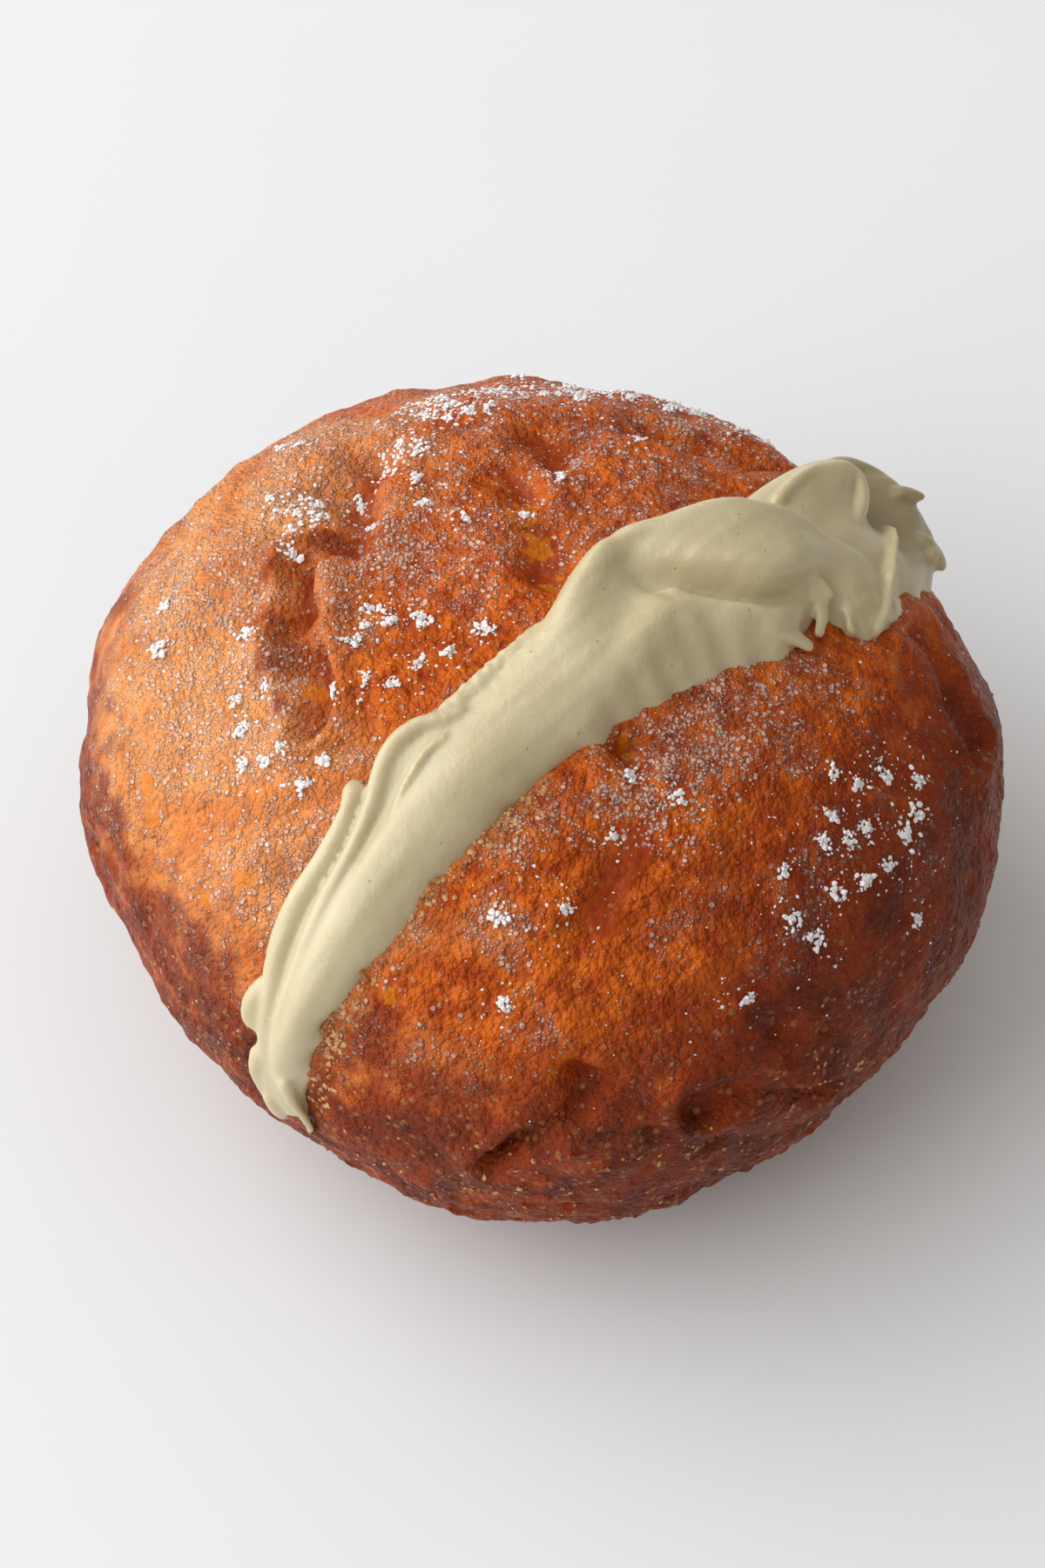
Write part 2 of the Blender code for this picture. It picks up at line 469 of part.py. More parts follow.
def make_bun(group, cutter, finish):
    """The dough: uneven crust, flat foot and the cut."""
    shape = bmesh.new()
    bmesh.ops.create_icosphere(shape, subdivisions=CRUST_DETAIL, radius=1)
    directions = np.array([vert.co for vert in shape.verts])
    directions /= np.linalg.norm(directions, axis=1)[:, None]
    for vert, point in zip(shape.verts, crust_points(directions)):
        vert.co = Vector(point) * MM
    bun = add_object("doughnut", shape, group, finish)
    decimate(bun, CRUST_TRIANGLES)
    boolean(bun, "DIFFERENCE", cutter)
    set_order(bun)
    for vert in bun.data.vertices:
        if vert.co.z < 0.05 * MM:
            vert.co.z = 0
    return bun


def make_grown(bun, group, gap):
    """The dough grown by a gap on every side, to cut what lies on it."""
    shape = bmesh.new()
    shape.from_mesh(bun.data)
    shape.normal_update()
    places = [vert.co + vert.normal * min(vert.calc_shell_factor(), 2) * gap * MM for vert in shape.verts]
    for vert, place in zip(shape.verts, places):
        vert.co = place
    return helper(add_object("grown dough", shape, group))


def make_cream(group, helpers, bun, finish):
    """The cream: ribbon, back lobe, folds and strings, with the wedge that fills the cut."""
    wedge = bmesh.new()
    loft(wedge, cut_rings())
    filling = add_object("cream", wedge, group, finish)
    core = bmesh.new()
    bmesh.ops.create_icosphere(core, subdivisions=5, radius=1)
    directions = np.array([vert.co.normalized() for vert in core.verts])
    for vert, direction, reach in zip(core.verts, directions, crust_radius(directions)):
        vert.co = Vector(direction * reach + HEART) * MM
    core_object = helper(add_object("smooth form", core, helpers))
    boolean(filling, "INTERSECT", core_object)
    shape = bmesh.new()
    shape.from_mesh(filling.data)
    loft(shape, section_rings(SECTIONS, 110, 40))
    loft(shape, section_rings(BACK_SECTIONS, 50, 36))
    for rows in STRANDS.values():
        loft(shape, strand_rings(rows, 8 * len(rows), 14))
    bpy.data.objects.remove(filling)
    cream = add_object("cream", shape, group, finish)
    skin = cream.modifiers.new("One skin", "REMESH")
    skin.mode = "VOXEL"
    skin.voxel_size = CREAM_VOXEL * MM
    skin.use_smooth_shade = True
    apply_modifiers(cream)
    decimate(cream, CREAM_TRIANGLES)
    boolean(cream, "DIFFERENCE", make_grown(bun, helpers, GAP), "MANIFOLD")
    keep_largest_body(cream)
    return cream


def cream_reach(point):
    """How far a point lies inside the band that the cream covers, in millimetres."""
    from_heart = point - HEART
    angle = math.degrees(math.atan2(from_heart[2], -(from_heart @ ALONG)))
    rows = np.array([(row[0], row[1][0], row[1][-1]) for row in SECTIONS + BACK_SECTIONS])
    near = rows[np.abs(rows[:, 0] - angle) < 12]
    if not len(near):
        return -SUGAR_CLEAR if -14 < angle < 180 else -99
    offset = from_heart @ ACROSS
    left = max(near[:, 1].max(), -1.0 if angle < 92 else -99)
    return min(left - offset, offset - near[:, 2].min())


def sugar_places():
    """Direction from the heart and size of each lump of sugar, scattered in the patches."""
    draw = random.Random(SUGAR_SEED)
    places = []
    for azimuth, elevation, spread, count in SUGAR_PATCHES:
        centre = on_crust(azimuth, elevation)
        tries = 0
        while count and tries < 60:
            tries += 1
            aim = centre + np.array([draw.gauss(0, spread) for _ in range(3)])
            direction = aim / np.linalg.norm(aim)
            size = draw.uniform(*SUGAR_RADII)
            point = direction * crust_radius(direction[None, :])[0] + HEART
            apart = min([np.linalg.norm(direction - other) for other, _ in places], default=1)
            open_crust = cream_reach(point) < -SUGAR_CLEAR and direction[2] > 0.1
            if open_crust and apart * HALF_WIDTH > SUGAR_APART:
                places.append((direction, size))
                count -= 1
    return places


def make_sugar(bun, group):
    """Lumps of sugar, seated on the dough."""
    draw = random.Random(SUGAR_SEED + 1)
    crust = BVHTree.FromPolygons([vert.co for vert in bun.data.vertices],
                                 [face.vertices for face in bun.data.polygons])
    for direction, size in sugar_places():
        start = Vector(HEART + 80 * direction) * MM
        seat, normal, _, _ = crust.ray_cast(start, -Vector(direction))
        shape = bmesh.new()
        bmesh.ops.create_icosphere(shape, subdivisions=1, radius=1)
        turned = Vector((0, 0, 1)).rotation_difference(normal)
        for vert in shape.verts:
            uneven = size * draw.uniform(0.7, 1.25)
            flat = Vector((vert.co.x, vert.co.y, vert.co.z * SUGAR_FLATNESS)) * uneven * MM
            vert.co = seat + turned @ flat
        add_object("sugar", shape, group)


def main():
    for old in list(bpy.data.objects):
        bpy.data.objects.remove(old)
    parts = collection("Filled doughnut")
    helpers = collection("Cutters")
    grains = collection("Sugar")
    crust = material("crust", (0.47, 0.15, 0.04), 0.55)
    cream = material("cream", (0.62, 0.56, 0.38), 0.35)
    blade = bmesh.new()
    loft(blade, cut_rings())
    cutter = helper(add_object("cut", blade, helpers))
    bun = make_bun(parts, cutter, crust)
    make_cream(parts, helpers, bun, cream)
    make_sugar(bun, grains)
    boolean(bun, "UNION", grains)
    for grain in list(grains.objects):
        bpy.data.objects.remove(grain)
    keep_largest_body(bun)


main()
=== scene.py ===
"""Looks of the filled doughnut: fried crust with melted and dusted sugar, and the cream in its cut."""

import math
import random

import bmesh
import bpy
import numpy as np
from mathutils import Matrix, Vector, noise
from mathutils.bvhtree import BVHTree


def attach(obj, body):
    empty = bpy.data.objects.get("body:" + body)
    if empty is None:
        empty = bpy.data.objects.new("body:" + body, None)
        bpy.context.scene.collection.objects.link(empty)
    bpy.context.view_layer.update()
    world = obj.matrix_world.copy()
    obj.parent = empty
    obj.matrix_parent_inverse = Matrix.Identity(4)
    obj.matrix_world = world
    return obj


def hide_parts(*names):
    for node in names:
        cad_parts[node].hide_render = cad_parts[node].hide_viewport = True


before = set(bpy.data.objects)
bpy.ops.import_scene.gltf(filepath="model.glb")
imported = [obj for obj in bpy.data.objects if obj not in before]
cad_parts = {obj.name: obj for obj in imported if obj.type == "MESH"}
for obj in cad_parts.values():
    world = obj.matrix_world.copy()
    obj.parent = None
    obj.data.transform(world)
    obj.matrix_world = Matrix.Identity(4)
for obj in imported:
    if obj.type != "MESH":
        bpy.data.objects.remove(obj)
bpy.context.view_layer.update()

BODY = "root"

# Lengths are in millimetres and angles in degrees. Mesh points are made in metres.
MM = 0.001

# The bun: a full round form about its heart, with a flat foot where it rested.
HALF_WIDTH = 48.0
HALF_DEPTH = 47.2
HEART_HEIGHT = 29.0
TOP_RISE = 31.0
BOTTOM_DROP = 30.5
FULLNESS = 2.3
# The heart's place in plan, which centres the uneven whole on the origin.
CENTRE_SHIFT = (-0.26, 0.67)
# Cosine and sine parts of the plan's 2, 3 and 4 lobes.
PLAN_LOBES = ((0.0, -0.0265), (0.0044, 0.0128), (0.0153, -0.0032))
# Broad swells of the crust: height, spacing and the noise's offset.
SWELLS = ((0.9, 13.0, 40.0), (0.45, 5.5, 70.0))
# How far the creases wander from their lines, and the spacing of the turns.
WANDER = 2.6
WANDER_SPACING = 6.0
WANDER_OFFSETS = (9.3, 18.7, 4.5)
CREASE_UNEVEN = 0.4
CRUST_DETAIL = 7
# A distance beyond the crust, and the halvings that find the crust from there.
BEYOND = 80.0
HALVINGS = 30

# The cut: straight in plan, its plane turned from +X and set off from the heart.
CUT_TURN = 42.4
CUT_OFFSET = -10.6
# Along the cut: place, half width at the crust, height of the floor.
CUT_STATIONS = ((-58, 1.8, 25.0), (-46, 2.5, 26.0), (-30, 4.0, 26.5), (0, 4.4, 27.5),
                (30, 3.8, 31.0), (46, 2.4, 35.0), (58, 2.0, 37.0))
CUT_FLOOR_HALF = 1.0
CUT_TOP = 74.0
LIP_DIP = 1.5
LIP_REACH = 3.2

# Creases of the crust: line of (azimuth, elevation) from the heart, width, depth, raised lip.
CREASES = {
    "upper left dent": (((128, 42), (141, 48), (154, 52)), 2.6, 2.6, 0.4),
    "burnt crease": (((163, 48), (176, 49), (-168, 50), (-156, 49)), 1.6, 3.0, 1.0),
    "long crease by the cream": (((102, 57), (100, 62), (96, 71), (79, 84)), 2.3, 2.0, 0.3),
    "dent behind it": (((92, 50), (85, 51)), 2.6, 1.8, 0.3),
    "right crease": (((6, 26), (-1, 23), (-5, 17)), 1.8, 1.6, 0.7),
    "hollow beside the cream": (((-58, 57),), 2.2, 2.4, 0.0),
    "broad recess": (((-70, 44), (-78, 35)), 4.5, 1.2, 0.2),
    "front crack": (((-85, 18), (-91, 9), (-95, 6)), 1.6, 2.8, 0.4),
    "lower seam": (((-70, 10), (-64, 10), (-59, 4), (-53, 2)), 1.6, 1.4, 0.7),
    "left dent": (((-163, 9),), 2.0, 1.4, 0.0),
    "left edge notch": (((-166, 7), (-168, 2)), 2.0, 1.2, 0.2),
    "back crease": (((48, 30), (58, 38), (70, 40)), 2.2, 2.0, 0.5),
    "back fold": (((118, 12), (102, 17), (92, 12)), 2.0, 1.8, 0.6),
    "far left fold": (((150, 10), (142, 18)), 2.2, 1.6, 0.4),
}
# Small pits: azimuth, elevation, radius.
PITS = ((-59, 15, 1.1), (-52, 11, 1.0), (-58, 11, 0.9), (-70, 10, 0.9), (-69, 1, 1.0), (-77, 8, 1.0),
        (-86, -6, 1.0), (-40, 4, 1.1), (20, 8, 1.1), (70, 5, 1.1), (165, -4, 1.0))
PIT_DEPTH = 0.9
# A knob of crust under the front crack: azimuth, elevation, radius, height.
KNOBS = ((-86, 8.5, 2.4, 0.6), (179, 4, 1.8, 0.6))

# Sections of the cream across the cut: angle along it, offsets of eight points, lifts over the crust.
SECTIONS = (
    (-4, (-8.2, -8.6, -9.2, -10, -10.8, -11.5, -12, -12.4), (-0.2, 0.3, 0.6, 0.7, 0.7, 0.6, 0.3, -0.2)),
    (1, (-7.4, -7.8, -8.8, -10, -11.2, -12.4, -13.4, -13.9), (-0.3, 0.6, 1.1, 1.2, 1.2, 1, 0.5, -0.4)),
    (8, (-7.2, -7.7, -8.8, -10, -11.2, -12.2, -13, -13.4), (-0.3, 0.7, 1.2, 1.4, 1.6, 1.3, 0.5, -0.6)),
    (16, (-6.6, -7.2, -8.4, -9.8, -11.2, -12.4, -13.4, -14), (-0.3, 0.6, 1, 1.5, 2.1, 1.9, 0.9, -0.8)),
    (26, (-4.8, -5.4, -6.8, -8.8, -10.8, -12.6, -14.2, -15.2), (-0.3, 0.6, 1, 1.5, 2.5, 2.3, 1.1, -1)),
    (36, (-4.2, -4.9, -6.2, -7.8, -9.8, -12, -14.2, -15.8), (-0.3, 0.6, 1, 1.4, 2.7, 2.6, 1.2, -1.2)),
    (40, (-4.6, -5.2, -6.4, -7.8, -9.6, -11.8, -14.1, -15.8), (-0.3, 0.7, 1.2, 1.5, 2.8, 2.7, 1.2, -1.2)),
    (44, (-4.7, -5, -6, -7.4, -9.2, -11.6, -14, -15.8), (-0.3, 0.8, 1.4, 1.7, 2.8, 2.8, 1.3, -1.3)),
    (48, (-3.6, -3.9, -5, -6.8, -8.9, -11.4, -13.9, -15.8), (-0.3, 0.9, 1.7, 1.8, 2.9, 2.9, 1.4, -1.3)),
    (53, (-2, -2.4, -3.9, -6, -8.6, -11.2, -13.8, -15.7), (-0.3, 1, 2, 2, 3, 3, 1.5, -1.3)),
    (60, (-2.6, -3, -4.4, -6.2, -8.4, -11, -13.7, -15.6), (-0.3, 1, 2.1, 2.4, 3.1, 3.1, 1.6, -1.3)),
    (68, (-2.6, -3.2, -4.6, -6.4, -8.4, -11, -13.6, -15.6), (-0.3, 0.9, 1.9, 2.7, 3.2, 3.1, 1.7, -1.2)),
    (78, (-2.8, -3.3, -4.6, -6.4, -8.4, -11.2, -14, -15.8), (-0.3, 1.3, 2.6, 3.3, 3.6, 3.4, 2, -0.8)),
    (86, (-2.4, -2.8, -4.2, -6, -8.4, -10.6, -13.4, -16), (-0.3, 1.9, 3.6, 4.1, 4.1, 4, 3.1, -0.5)),
    (94, (-0.9, -1, -2.4, -4.2, -6.2, -8.6, -12.6, -16.9), (-0.3, 2.4, 4.7, 4.8, 4.2, 3.9, 4, -0.4)),
    (101, (0.3, 0.2, -1.2, -2.8, -4.4, -6.8, -11.6, -18), (-0.3, 2.6, 5.4, 5.1, 4, 3.3, 4.5, -0.4)),
    (104, (0.3, 0.1, -1.4, -3, -4.7, -7, -12, -18.2), (-0.3, 2.6, 5.5, 5, 3.7, 2.6, 4.4, -0.4)),
    (107, (0.4, 0.1, -1.8, -3.8, -6.2, -8.2, -12.6, -18.6), (-0.3, 3, 6, 5.6, 4.9, 2.6, 4.2, -0.4)),
    (112, (-0.4, -0.9, -3.4, -7, -10.4, -11.2, -14.8, -18.8), (-0.3, 3.2, 6.5, 6.6, 6.3, 2.4, 4.1, -0.4)),
    (117, (-1, -1.6, -4.4, -9.4, -14, -14, -16.8, -19.2), (-0.3, 3.4, 6.8, 7.1, 6.9, 2.4, 3.7, -0.4)),
    (122, (-2, -2.6, -5.6, -10.6, -15.2, -15.4, -17.6, -19.6), (-0.3, 3.4, 6.8, 7.1, 6.7, 2.4, 3, -0.4)),
    (126, (-3.6, -4.4, -7.4, -11.4, -15, -15.8, -17, -18.2), (-0.3, 3, 6.4, 6.6, 5.8, 3, 2, -0.4)),
    (129.5, (-6, -6.8, -9.8, -12.4, -14.8, -15.9, -16.9, -17.8), (-0.3, 2.8, 6, 5.6, 5, 3.3, 2, -0.4)),
    (132, (-7.8, -8.6, -11.2, -13.6, -15.6, -17.2, -18.6, -19.6),
     (-0.3, 2.7, 5, 4.9, 4.2, 3.1, 1.8, -0.4)),
    (134, (-9.4, -10.2, -12.4, -14.4, -16.2, -18, -19.8, -21.4), (-0.3, 2.6, 4.4, 4.3, 3.8, 3.1, 2, -0.4)),
    (139, (-12.4, -13, -14.8, -16.4, -18, -19.4, -20.8, -22), (-0.3, 1.8, 3, 3, 2.7, 2.2, 1.3, -0.4)),
    (145, (-15.4, -16, -17, -18, -19, -20, -20.8, -21.4), (-0.3, 0.6, 1.2, 1.3, 1.2, 0.9, 0.5, -0.3)),
)
# Sections of the lobe behind it.
BACK_SECTIONS = (
    (126, (-3.6, -4.2, -5.6, -7.6, -9.6, -11.6, -13.4, -14.4), (-0.3, 0.8, 1.6, 1.8, 1.8, 1.6, 0.8, -0.3)),
    (132, (-2.5, -3, -5, -8, -11, -14, -17, -18.5), (-0.3, 2, 3.2, 3.4, 3.2, 2.6, 1.4, -0.3)),
    (140, (-1.8, -2.2, -4.4, -6.8, -9.4, -12.5, -16.5, -19.4), (-0.3, 3, 4.9, 4.2, 3.4, 3.4, 2.4, -0.4)),
    (148, (-0.9, -1.3, -3.4, -5.2, -7.4, -10.6, -15.4, -19.4), (-0.3, 3, 5, 5.4, 3.8, 2.2, 2.4, -0.4)),
    (153, (-0.5, -0.9, -2.5, -4.6, -7.6, -11.5, -15.6, -18.8), (-0.3, 2, 2.4, 1.2, 0.7, 0.6, 1.4, -0.4)),
    (160, (-1, -1.3, -2.9, -5.6, -8.4, -11.6, -14.6, -17.4), (-0.3, 2.6, 4.4, 5.2, 4.8, 3.6, 2.4, -0.4)),
    (164, (-3.6, -4, -5.6, -7.6, -9.6, -11.8, -14, -15.6), (-0.3, 1.4, 2.6, 3, 2.6, 2.2, 1.5, -0.3)),
    (168, (-7, -7.4, -8.4, -9.6, -10.8, -12, -13, -13.6), (-0.2, 0.4, 0.8, 0.9, 0.8, 0.6, 0.3, -0.2)),
)
# How far the right edge wavers, and the spacing of its waves in degrees.
EDGE_WAVER = 1.1
EDGE_SPACING = 5.0
UNDERSIDE = 3.4

# Rolls, leaves and strings of cream: angle, offset, lift, half width, half thickness.
STRANDS = {
    "low fold": (
        (47, -2, 1.2, 1.3, 0.9), (45, -2.9, 1.1, 1.05, 1.1), (42, -4, 1, 1, 1.1),
        (36, -5, 0.8, 1.2, 1.2), (30, -5.4, 0.8, 1.3, 1.3), (24, -6.3, 0.8, 1.3, 1.2),
        (17, -7.8, 0.7, 1.2, 1.1), (9, -9, 0.6, 1.1, 0.9), (3, -9.4, 0.5, 0.8, 0.7)),
    "middle fold": (
        (66, -5.4, 1.9, 0.7, 0.7), (62, -4.1, 2, 0.9, 0.9), (58.5, -3, 1.8, 1, 1.1),
        (55, -2.6, 1.6, 1.1, 1.2), (51, -3.4, 1.5, 1.1, 1.2), (46, -5.3, 1.3, 1, 1.2),
        (40, -6.9, 1.2, 0.9, 1.2), (32, -8.1, 1.2, 1, 1.1), (23, -9.5, 1.1, 1, 1),
        (14, -10.3, 1, 1, 0.9), (6, -10.8, 0.8, 0.9, 0.7)),
    "inner flap": (
        (61, -6, 2.3, 0.4, 0.5), (57, -5.8, 2.1, 0.5, 0.8), (52, -6.6, 1.9, 0.5, 0.9),
        (47, -7.8, 1.7, 0.4, 0.7)),
    "rough high fold": (
        (60, -3.4, 1, 0.9, 0.9), (66, -3.7, 1.1, 1.1, 1.2), (73, -3.5, 1.1, 1.2, 1.2),
        (80, -3.3, 1.1, 1.1, 1.1), (87, -2.7, 0.9, 0.8, 0.8)),
    "knob": (
        (19, -6.8, 0.5, 0.8, 0.8), (15.5, -6.3, 0.8, 1.2, 1), (12.5, -6.5, 0.8, 1.3, 1),
        (10.5, -7.6, 0.6, 1.1, 0.8)),
    "left of the tip": (
        (8, -8.4, 0.8, 1.2, 0.9), (3, -8, 0.7, 1, 0.8), (-1, -8.4, 0.5, 0.8, 0.6),
        (-4, -9.2, 0.4, 0.6, 0.5)),
    "foot of the tip": (
        (0, -9.6, 0.9, 1.1, 0.8), (-4, -10.2, 0.6, 1, 0.7), (-6, -11, 0.3, 0.7, 0.5)),
    "curl": (
        (7, -12, 1.2, 0.9, 0.8), (3, -12.9, 1.1, 0.7, 0.6), (0, -13.9, 0.8, 0.5, 0.5),
        (-3, -14.4, 0.5, 0.45, 0.4), (-5, -14, 0.3, 0.4, 0.35)),
    "torn string": (
        (118, -15.8, 1.6, 2.2, 0.9), (120.5, -17.8, 1.1, 1.8, 0.8), (122.5, -19.4, 0.6, 1.2, 0.6),
        (124, -20.6, 0.3, 0.7, 0.4)),
    "second string": (
        (127.5, -15.4, 2, 1.2, 0.9), (128.5, -17.2, 1.7, 0.9, 0.9), (127.5, -18.8, 1.1, 0.7, 0.7),
        (126, -19.8, 0.5, 0.6, 0.5)),
    "third string": (
        (134, -17, 2.4, 0.9, 0.8), (133, -18.8, 1.6, 0.7, 0.8), (132.5, -20.2, 0.9, 0.6, 0.6),
        (133, -21.2, 0.4, 0.5, 0.5)),
    "small ridge": (
        (103.5, -8.2, 3, 0.4, 0.5), (105.5, -9.2, 3.5, 0.45, 0.6), (107, -10.4, 3.6, 0.35, 0.5)),
    "fine ridge": (
        (125, -14.6, 4.3, 0.45, 0.7), (128, -16.4, 3.3, 0.45, 0.7), (129.5, -18, 2.4, 0.45, 0.7)),
    "veil": (
        (152, -10.4, 0.8, 0.5, 1), (149, -13, 2.2, 0.5, 1.5), (144, -16.6, 2.2, 0.55, 1.7),
        (140, -20, 1.4, 0.55, 1.4), (137, -22.2, 0.6, 0.5, 0.8)),
    "back leaf rim": (
        (132, -6, 3.6, 0.7, 0.8), (139, -4.6, 4.4, 0.7, 0.8), (145, -4, 4.4, 0.7, 0.8),
        (148.5, -5.6, 4.7, 0.8, 0.8), (147, -8.6, 4, 0.8, 0.8), (143, -11.6, 2.4, 0.9, 0.7)),
    "back rim": (
        (150, -1.8, 2.8, 0.7, 0.9), (156, -1.6, 3.6, 0.7, 0.9), (160, -3.6, 4.2, 0.7, 0.9),
        (161, -7.4, 4, 0.7, 0.9), (161.5, -12, 3, 0.8, 0.9), (158, -15.6, 2.4, 0.8, 0.9)),
    "peak": (
        (158, -6.4, 3.8, 1.6, 1.2), (160, -7.6, 5, 1.2, 0.9), (161.5, -8.6, 5.9, 0.8, 0.6)),
    "spike": (
        (158, -12, 2.4, 1.6, 1.2), (161, -14, 2.5, 1.1, 1), (163.5, -15.4, 2.3, 0.7, 0.6)),
}

# Lumps of sugar on the crust: azimuth, elevation, spread, count.
SUGAR_PATCHES = ((-33, 29, 2.6, 5), (-25, 32, 2.0, 3), (-40, 29, 1.4, 2), (-47, 31, 1.6, 2),
                 (-20, 29, 1.6, 1), (-23, 24, 1.6, 1), (-30, 22, 1.2, 1), (-33, 14, 1.5, 1),
                 (-95, 25, 0.6, 1), (-63, 22, 0.6, 1), (-50, 23, 0.8, 1), (-75, 47, 0.8, 1),
                 (-59, 49, 0.8, 1), (-65, 52, 0.8, 1), (-93, 38, 0.8, 1), (-86, 37, 0.8, 1),
                 (-178, 62, 2.0, 5), (-150, 74, 1.6, 2), (-146, 65, 0.8, 1), (-148, 57, 1.6, 3),
                 (-178, 42, 1.2, 1), (-163, 40, 1.8, 3), (-147, 41, 2.0, 4), (-136, 48, 0.8, 1),
                 (-135, 35, 0.8, 1), (-150, 36, 0.8, 1), (174, 30, 2.4, 2), (148, 42, 2.6, 5),
                 (141, 45, 1.6, 2), (127, 55, 1.2, 2), (119, 47, 1.6, 2), (122, 66, 0.8, 1),
                 (102, 69, 0.8, 1), (84, 58, 0.8, 2), (108, 40, 2.4, 5), (93, 34, 2.6, 3),
                 (87, 27, 2.4, 3), (78, 31, 2.4, 3), (69, 41, 1.4, 1), (66, 24, 2.4, 3),
                 (57, 24, 2.4, 2), (130, 22, 6.0, 3))
SUGAR_RADII = (0.7, 1.25)
SUGAR_CLEAR = 2.2
SUGAR_APART = 2.8
SUGAR_SEED = 7
SUGAR_TRIES = 60
# The cream's band for the sugar's sake: how near a section counts, its ends and its folds' left edge.
BAND_NEAR = 12
BAND_ENDS = (-14, 180)
FOLD_EDGE = -1.0
FOLD_END = 92
FAR_OFF = 99

# Finer crust than the solid's: height, spacing and the noise's offset.
GRAIN = ((0.22, 2.6, 11.0), (0.20, 1.3, 23.0), (0.11, 0.8, 37.0))
# How much coarser the grain is low down, the depth of its pores and the height of the lip's crumbs.
LOWER_COARSE = 1.3
PORE_DEPTH = 0.75
LIP_CRUMB = 0.55
# Noises of the crust: spacing and offset.
BROAD = (7.0, 90.0)
FINE = (2.6, 33.0)
TINY = (1.0, 57.0)
PORES = (1.9, 61.0)
CRUMBLE = (1.1, 83.0)
# The side with the finer mesh, and how far round it reaches.
FINE_SIDE = np.array([0.0, -0.5, 0.87])
FINE_BEYOND = 0.12
# The cream's mesh width, and how far its wedge lies inside the cut.
CREAM_SKIN = 0.3
CREAM_SINK = 0.3
# Places of the cream: angle and offset, each with its middle, spread and power.
# The back lobe's bowl, whose colour is darkened as painted shade.
SHADED_LOBE = ((156, 7, 4), (-9, 7, 4))
FROSTED_FOLD = ((72, 13, 4), (-2.6, 2.2, 2))
TORN_EDGE = ((136, 16, 2), (-21, 3.5, 2))

# Burnt places of the crust: azimuth, elevation, radius.
BURNT = ((178, 43.5, 4.5), (-170, 45, 4.5), (165, 44, 4.0), (-160, 44.5, 3.0), (152, 50, 5.0),
         (140, 46, 4.5), (102, 47, 5.0), (92, 49, 5.0), (98, 61, 4.0), (80, 45, 5.0), (-90, 12, 6.0),
         (-104, 4, 7.0), (-72, 5, 8.0), (-59, 13, 8.0), (-47, 5, 9.0), (-30, 2, 10.0), (-8, 12, 8.0),
         (-3, 24, 5.0), (-113, 19, 6.0), (-130, 3, 8.0), (-61, 60, 3.5), (-150, 5, 5.0),
         (-75, 42, 4.0), (-54, 55, 7.0), (-35, 58, 7.0), (-84, 14, 5.0), (-98, 8, 7.0))
# The darkest side, deeper browning with painted shade on the side away from the window: its direction, and
# the cosines at its edge and core.
DARK_SIDE = (-33, -4)
DARK_EDGE, DARK_CORE = 0.56, 0.95
# Bare, golden and glossy places.
GOLDEN = ((-164, 22, 1.5), (-159, 20, 1.1), (-154, 23, 0.7), (-143, 20, 0.9), (-152, 15, 1.2),
          (-172, 16, 0.9), (-140, 27, 1.0), (175, 24, 1.1), (97, 66, 1.6), (90, 75, 1.5),
          (60, 84, 1.6), (-61, 58, 1.3), (-160, 49, 1.1), (-111, 24, 1.0), (-117, 26, 0.9))
# Places with little sugar on them, and places with much.
CLEAR_PLACES = ((-92, 33, 9.0), (-80, 27, 8.0), (-48, 41, 7.0), (-75, 38, 5.0), (-148, 64, 6.0),
                (-103, 30, 6.0), (-98, 14, 9.0), (-62, 14, 9.0), (-38, 16, 9.0), (-20, 33, 7.0),
                (-8, 20, 8.0))
FROSTED_PLACES = ((-52, 52, 6.0), (-43, 55, 6.0), (-60, 47, 5.0), (-28, 55, 7.0), (80, 52, 4.5),
                  (-96, 48, 3.0), (95, 35, 4.5), (60, 35, 5.0), (-70, 52, 4.0), (-168, 44, 5.0),
                  (-126, 41, 4.0), (150, 60, 6.0), (170, 34, 8.0))

# Fine white sugar: flakes of grains, specks about them and dust over the top.
GRAINS_IN_LUMP = (16, 30)
LUMP_GRAINS = (0.11, 0.30)
LUMP_WIDTH = 0.40
LUMP_LENGTH = 0.35
LUMP_LIFT = (-0.1, 0.3)
SPECKS_BY_LUMP = (5, 12)
SPECK_SIZES = (0.07, 0.19)
SPECK_SPREAD = 1.4
PATCH_GRAINS = 9
DUST_GRAINS = 1900
DUST_SIZES = (0.05, 0.13)
# Far places with thick sugar dust: azimuth, elevation, spread, count.
DUSTED_PLACES = ((110, 37, 2.6, 130), (97, 32, 2.2, 130), (84, 29, 2.4, 120), (68, 25, 2.4, 120),
                 (124, 44, 2.0, 70), (146, 42, 2.0, 60), (57, 24, 2.0, 70))
# Grains of sugar that melted on the crust.
CRYSTALS_BY_AREA = 1.8
CRYSTAL_SIZES = (0.11, 0.28)
CRYSTAL_CLUSTER = 3.0
# Crumbs of crust along the cut's lip and on the lower flank.
LIP_CRUMBS = 260
LOW_CRUMBS = 420
CRUMB_SIZES = (0.12, 0.38)
LIP_BAND = (4.9, 0.7)
LIP_ANGLES = (2, 66)
LOW_TURNS = (-150, 20)
LOW_RISE = (-2, 8)
LOW_CRUMB_SHARE = 0.8

# The window light, in metres and watts.
WINDOW_PLACE = (-0.94, 0.05, 0.56)
WINDOW_TARGET = (0, 0, 0.02)
WINDOW_SIZE = (1.9, 1.5)
WINDOW_POWER = 20.5
WINDOW_COLOUR = (1.0, 1.0, 0.995)
# The light all round: where it is brightest, and its span, strength and colour from dark side to bright.
SKY_BRIGHTEST = (-0.36, -0.04, 0.93)
SKY_SPAN = (-0.5, 1.0)
SKY_STRENGTH = (0.07, 0.69)
SKY_COLOURS = ((1.0, 0.84, 0.69), (0.955, 0.98, 1.0))

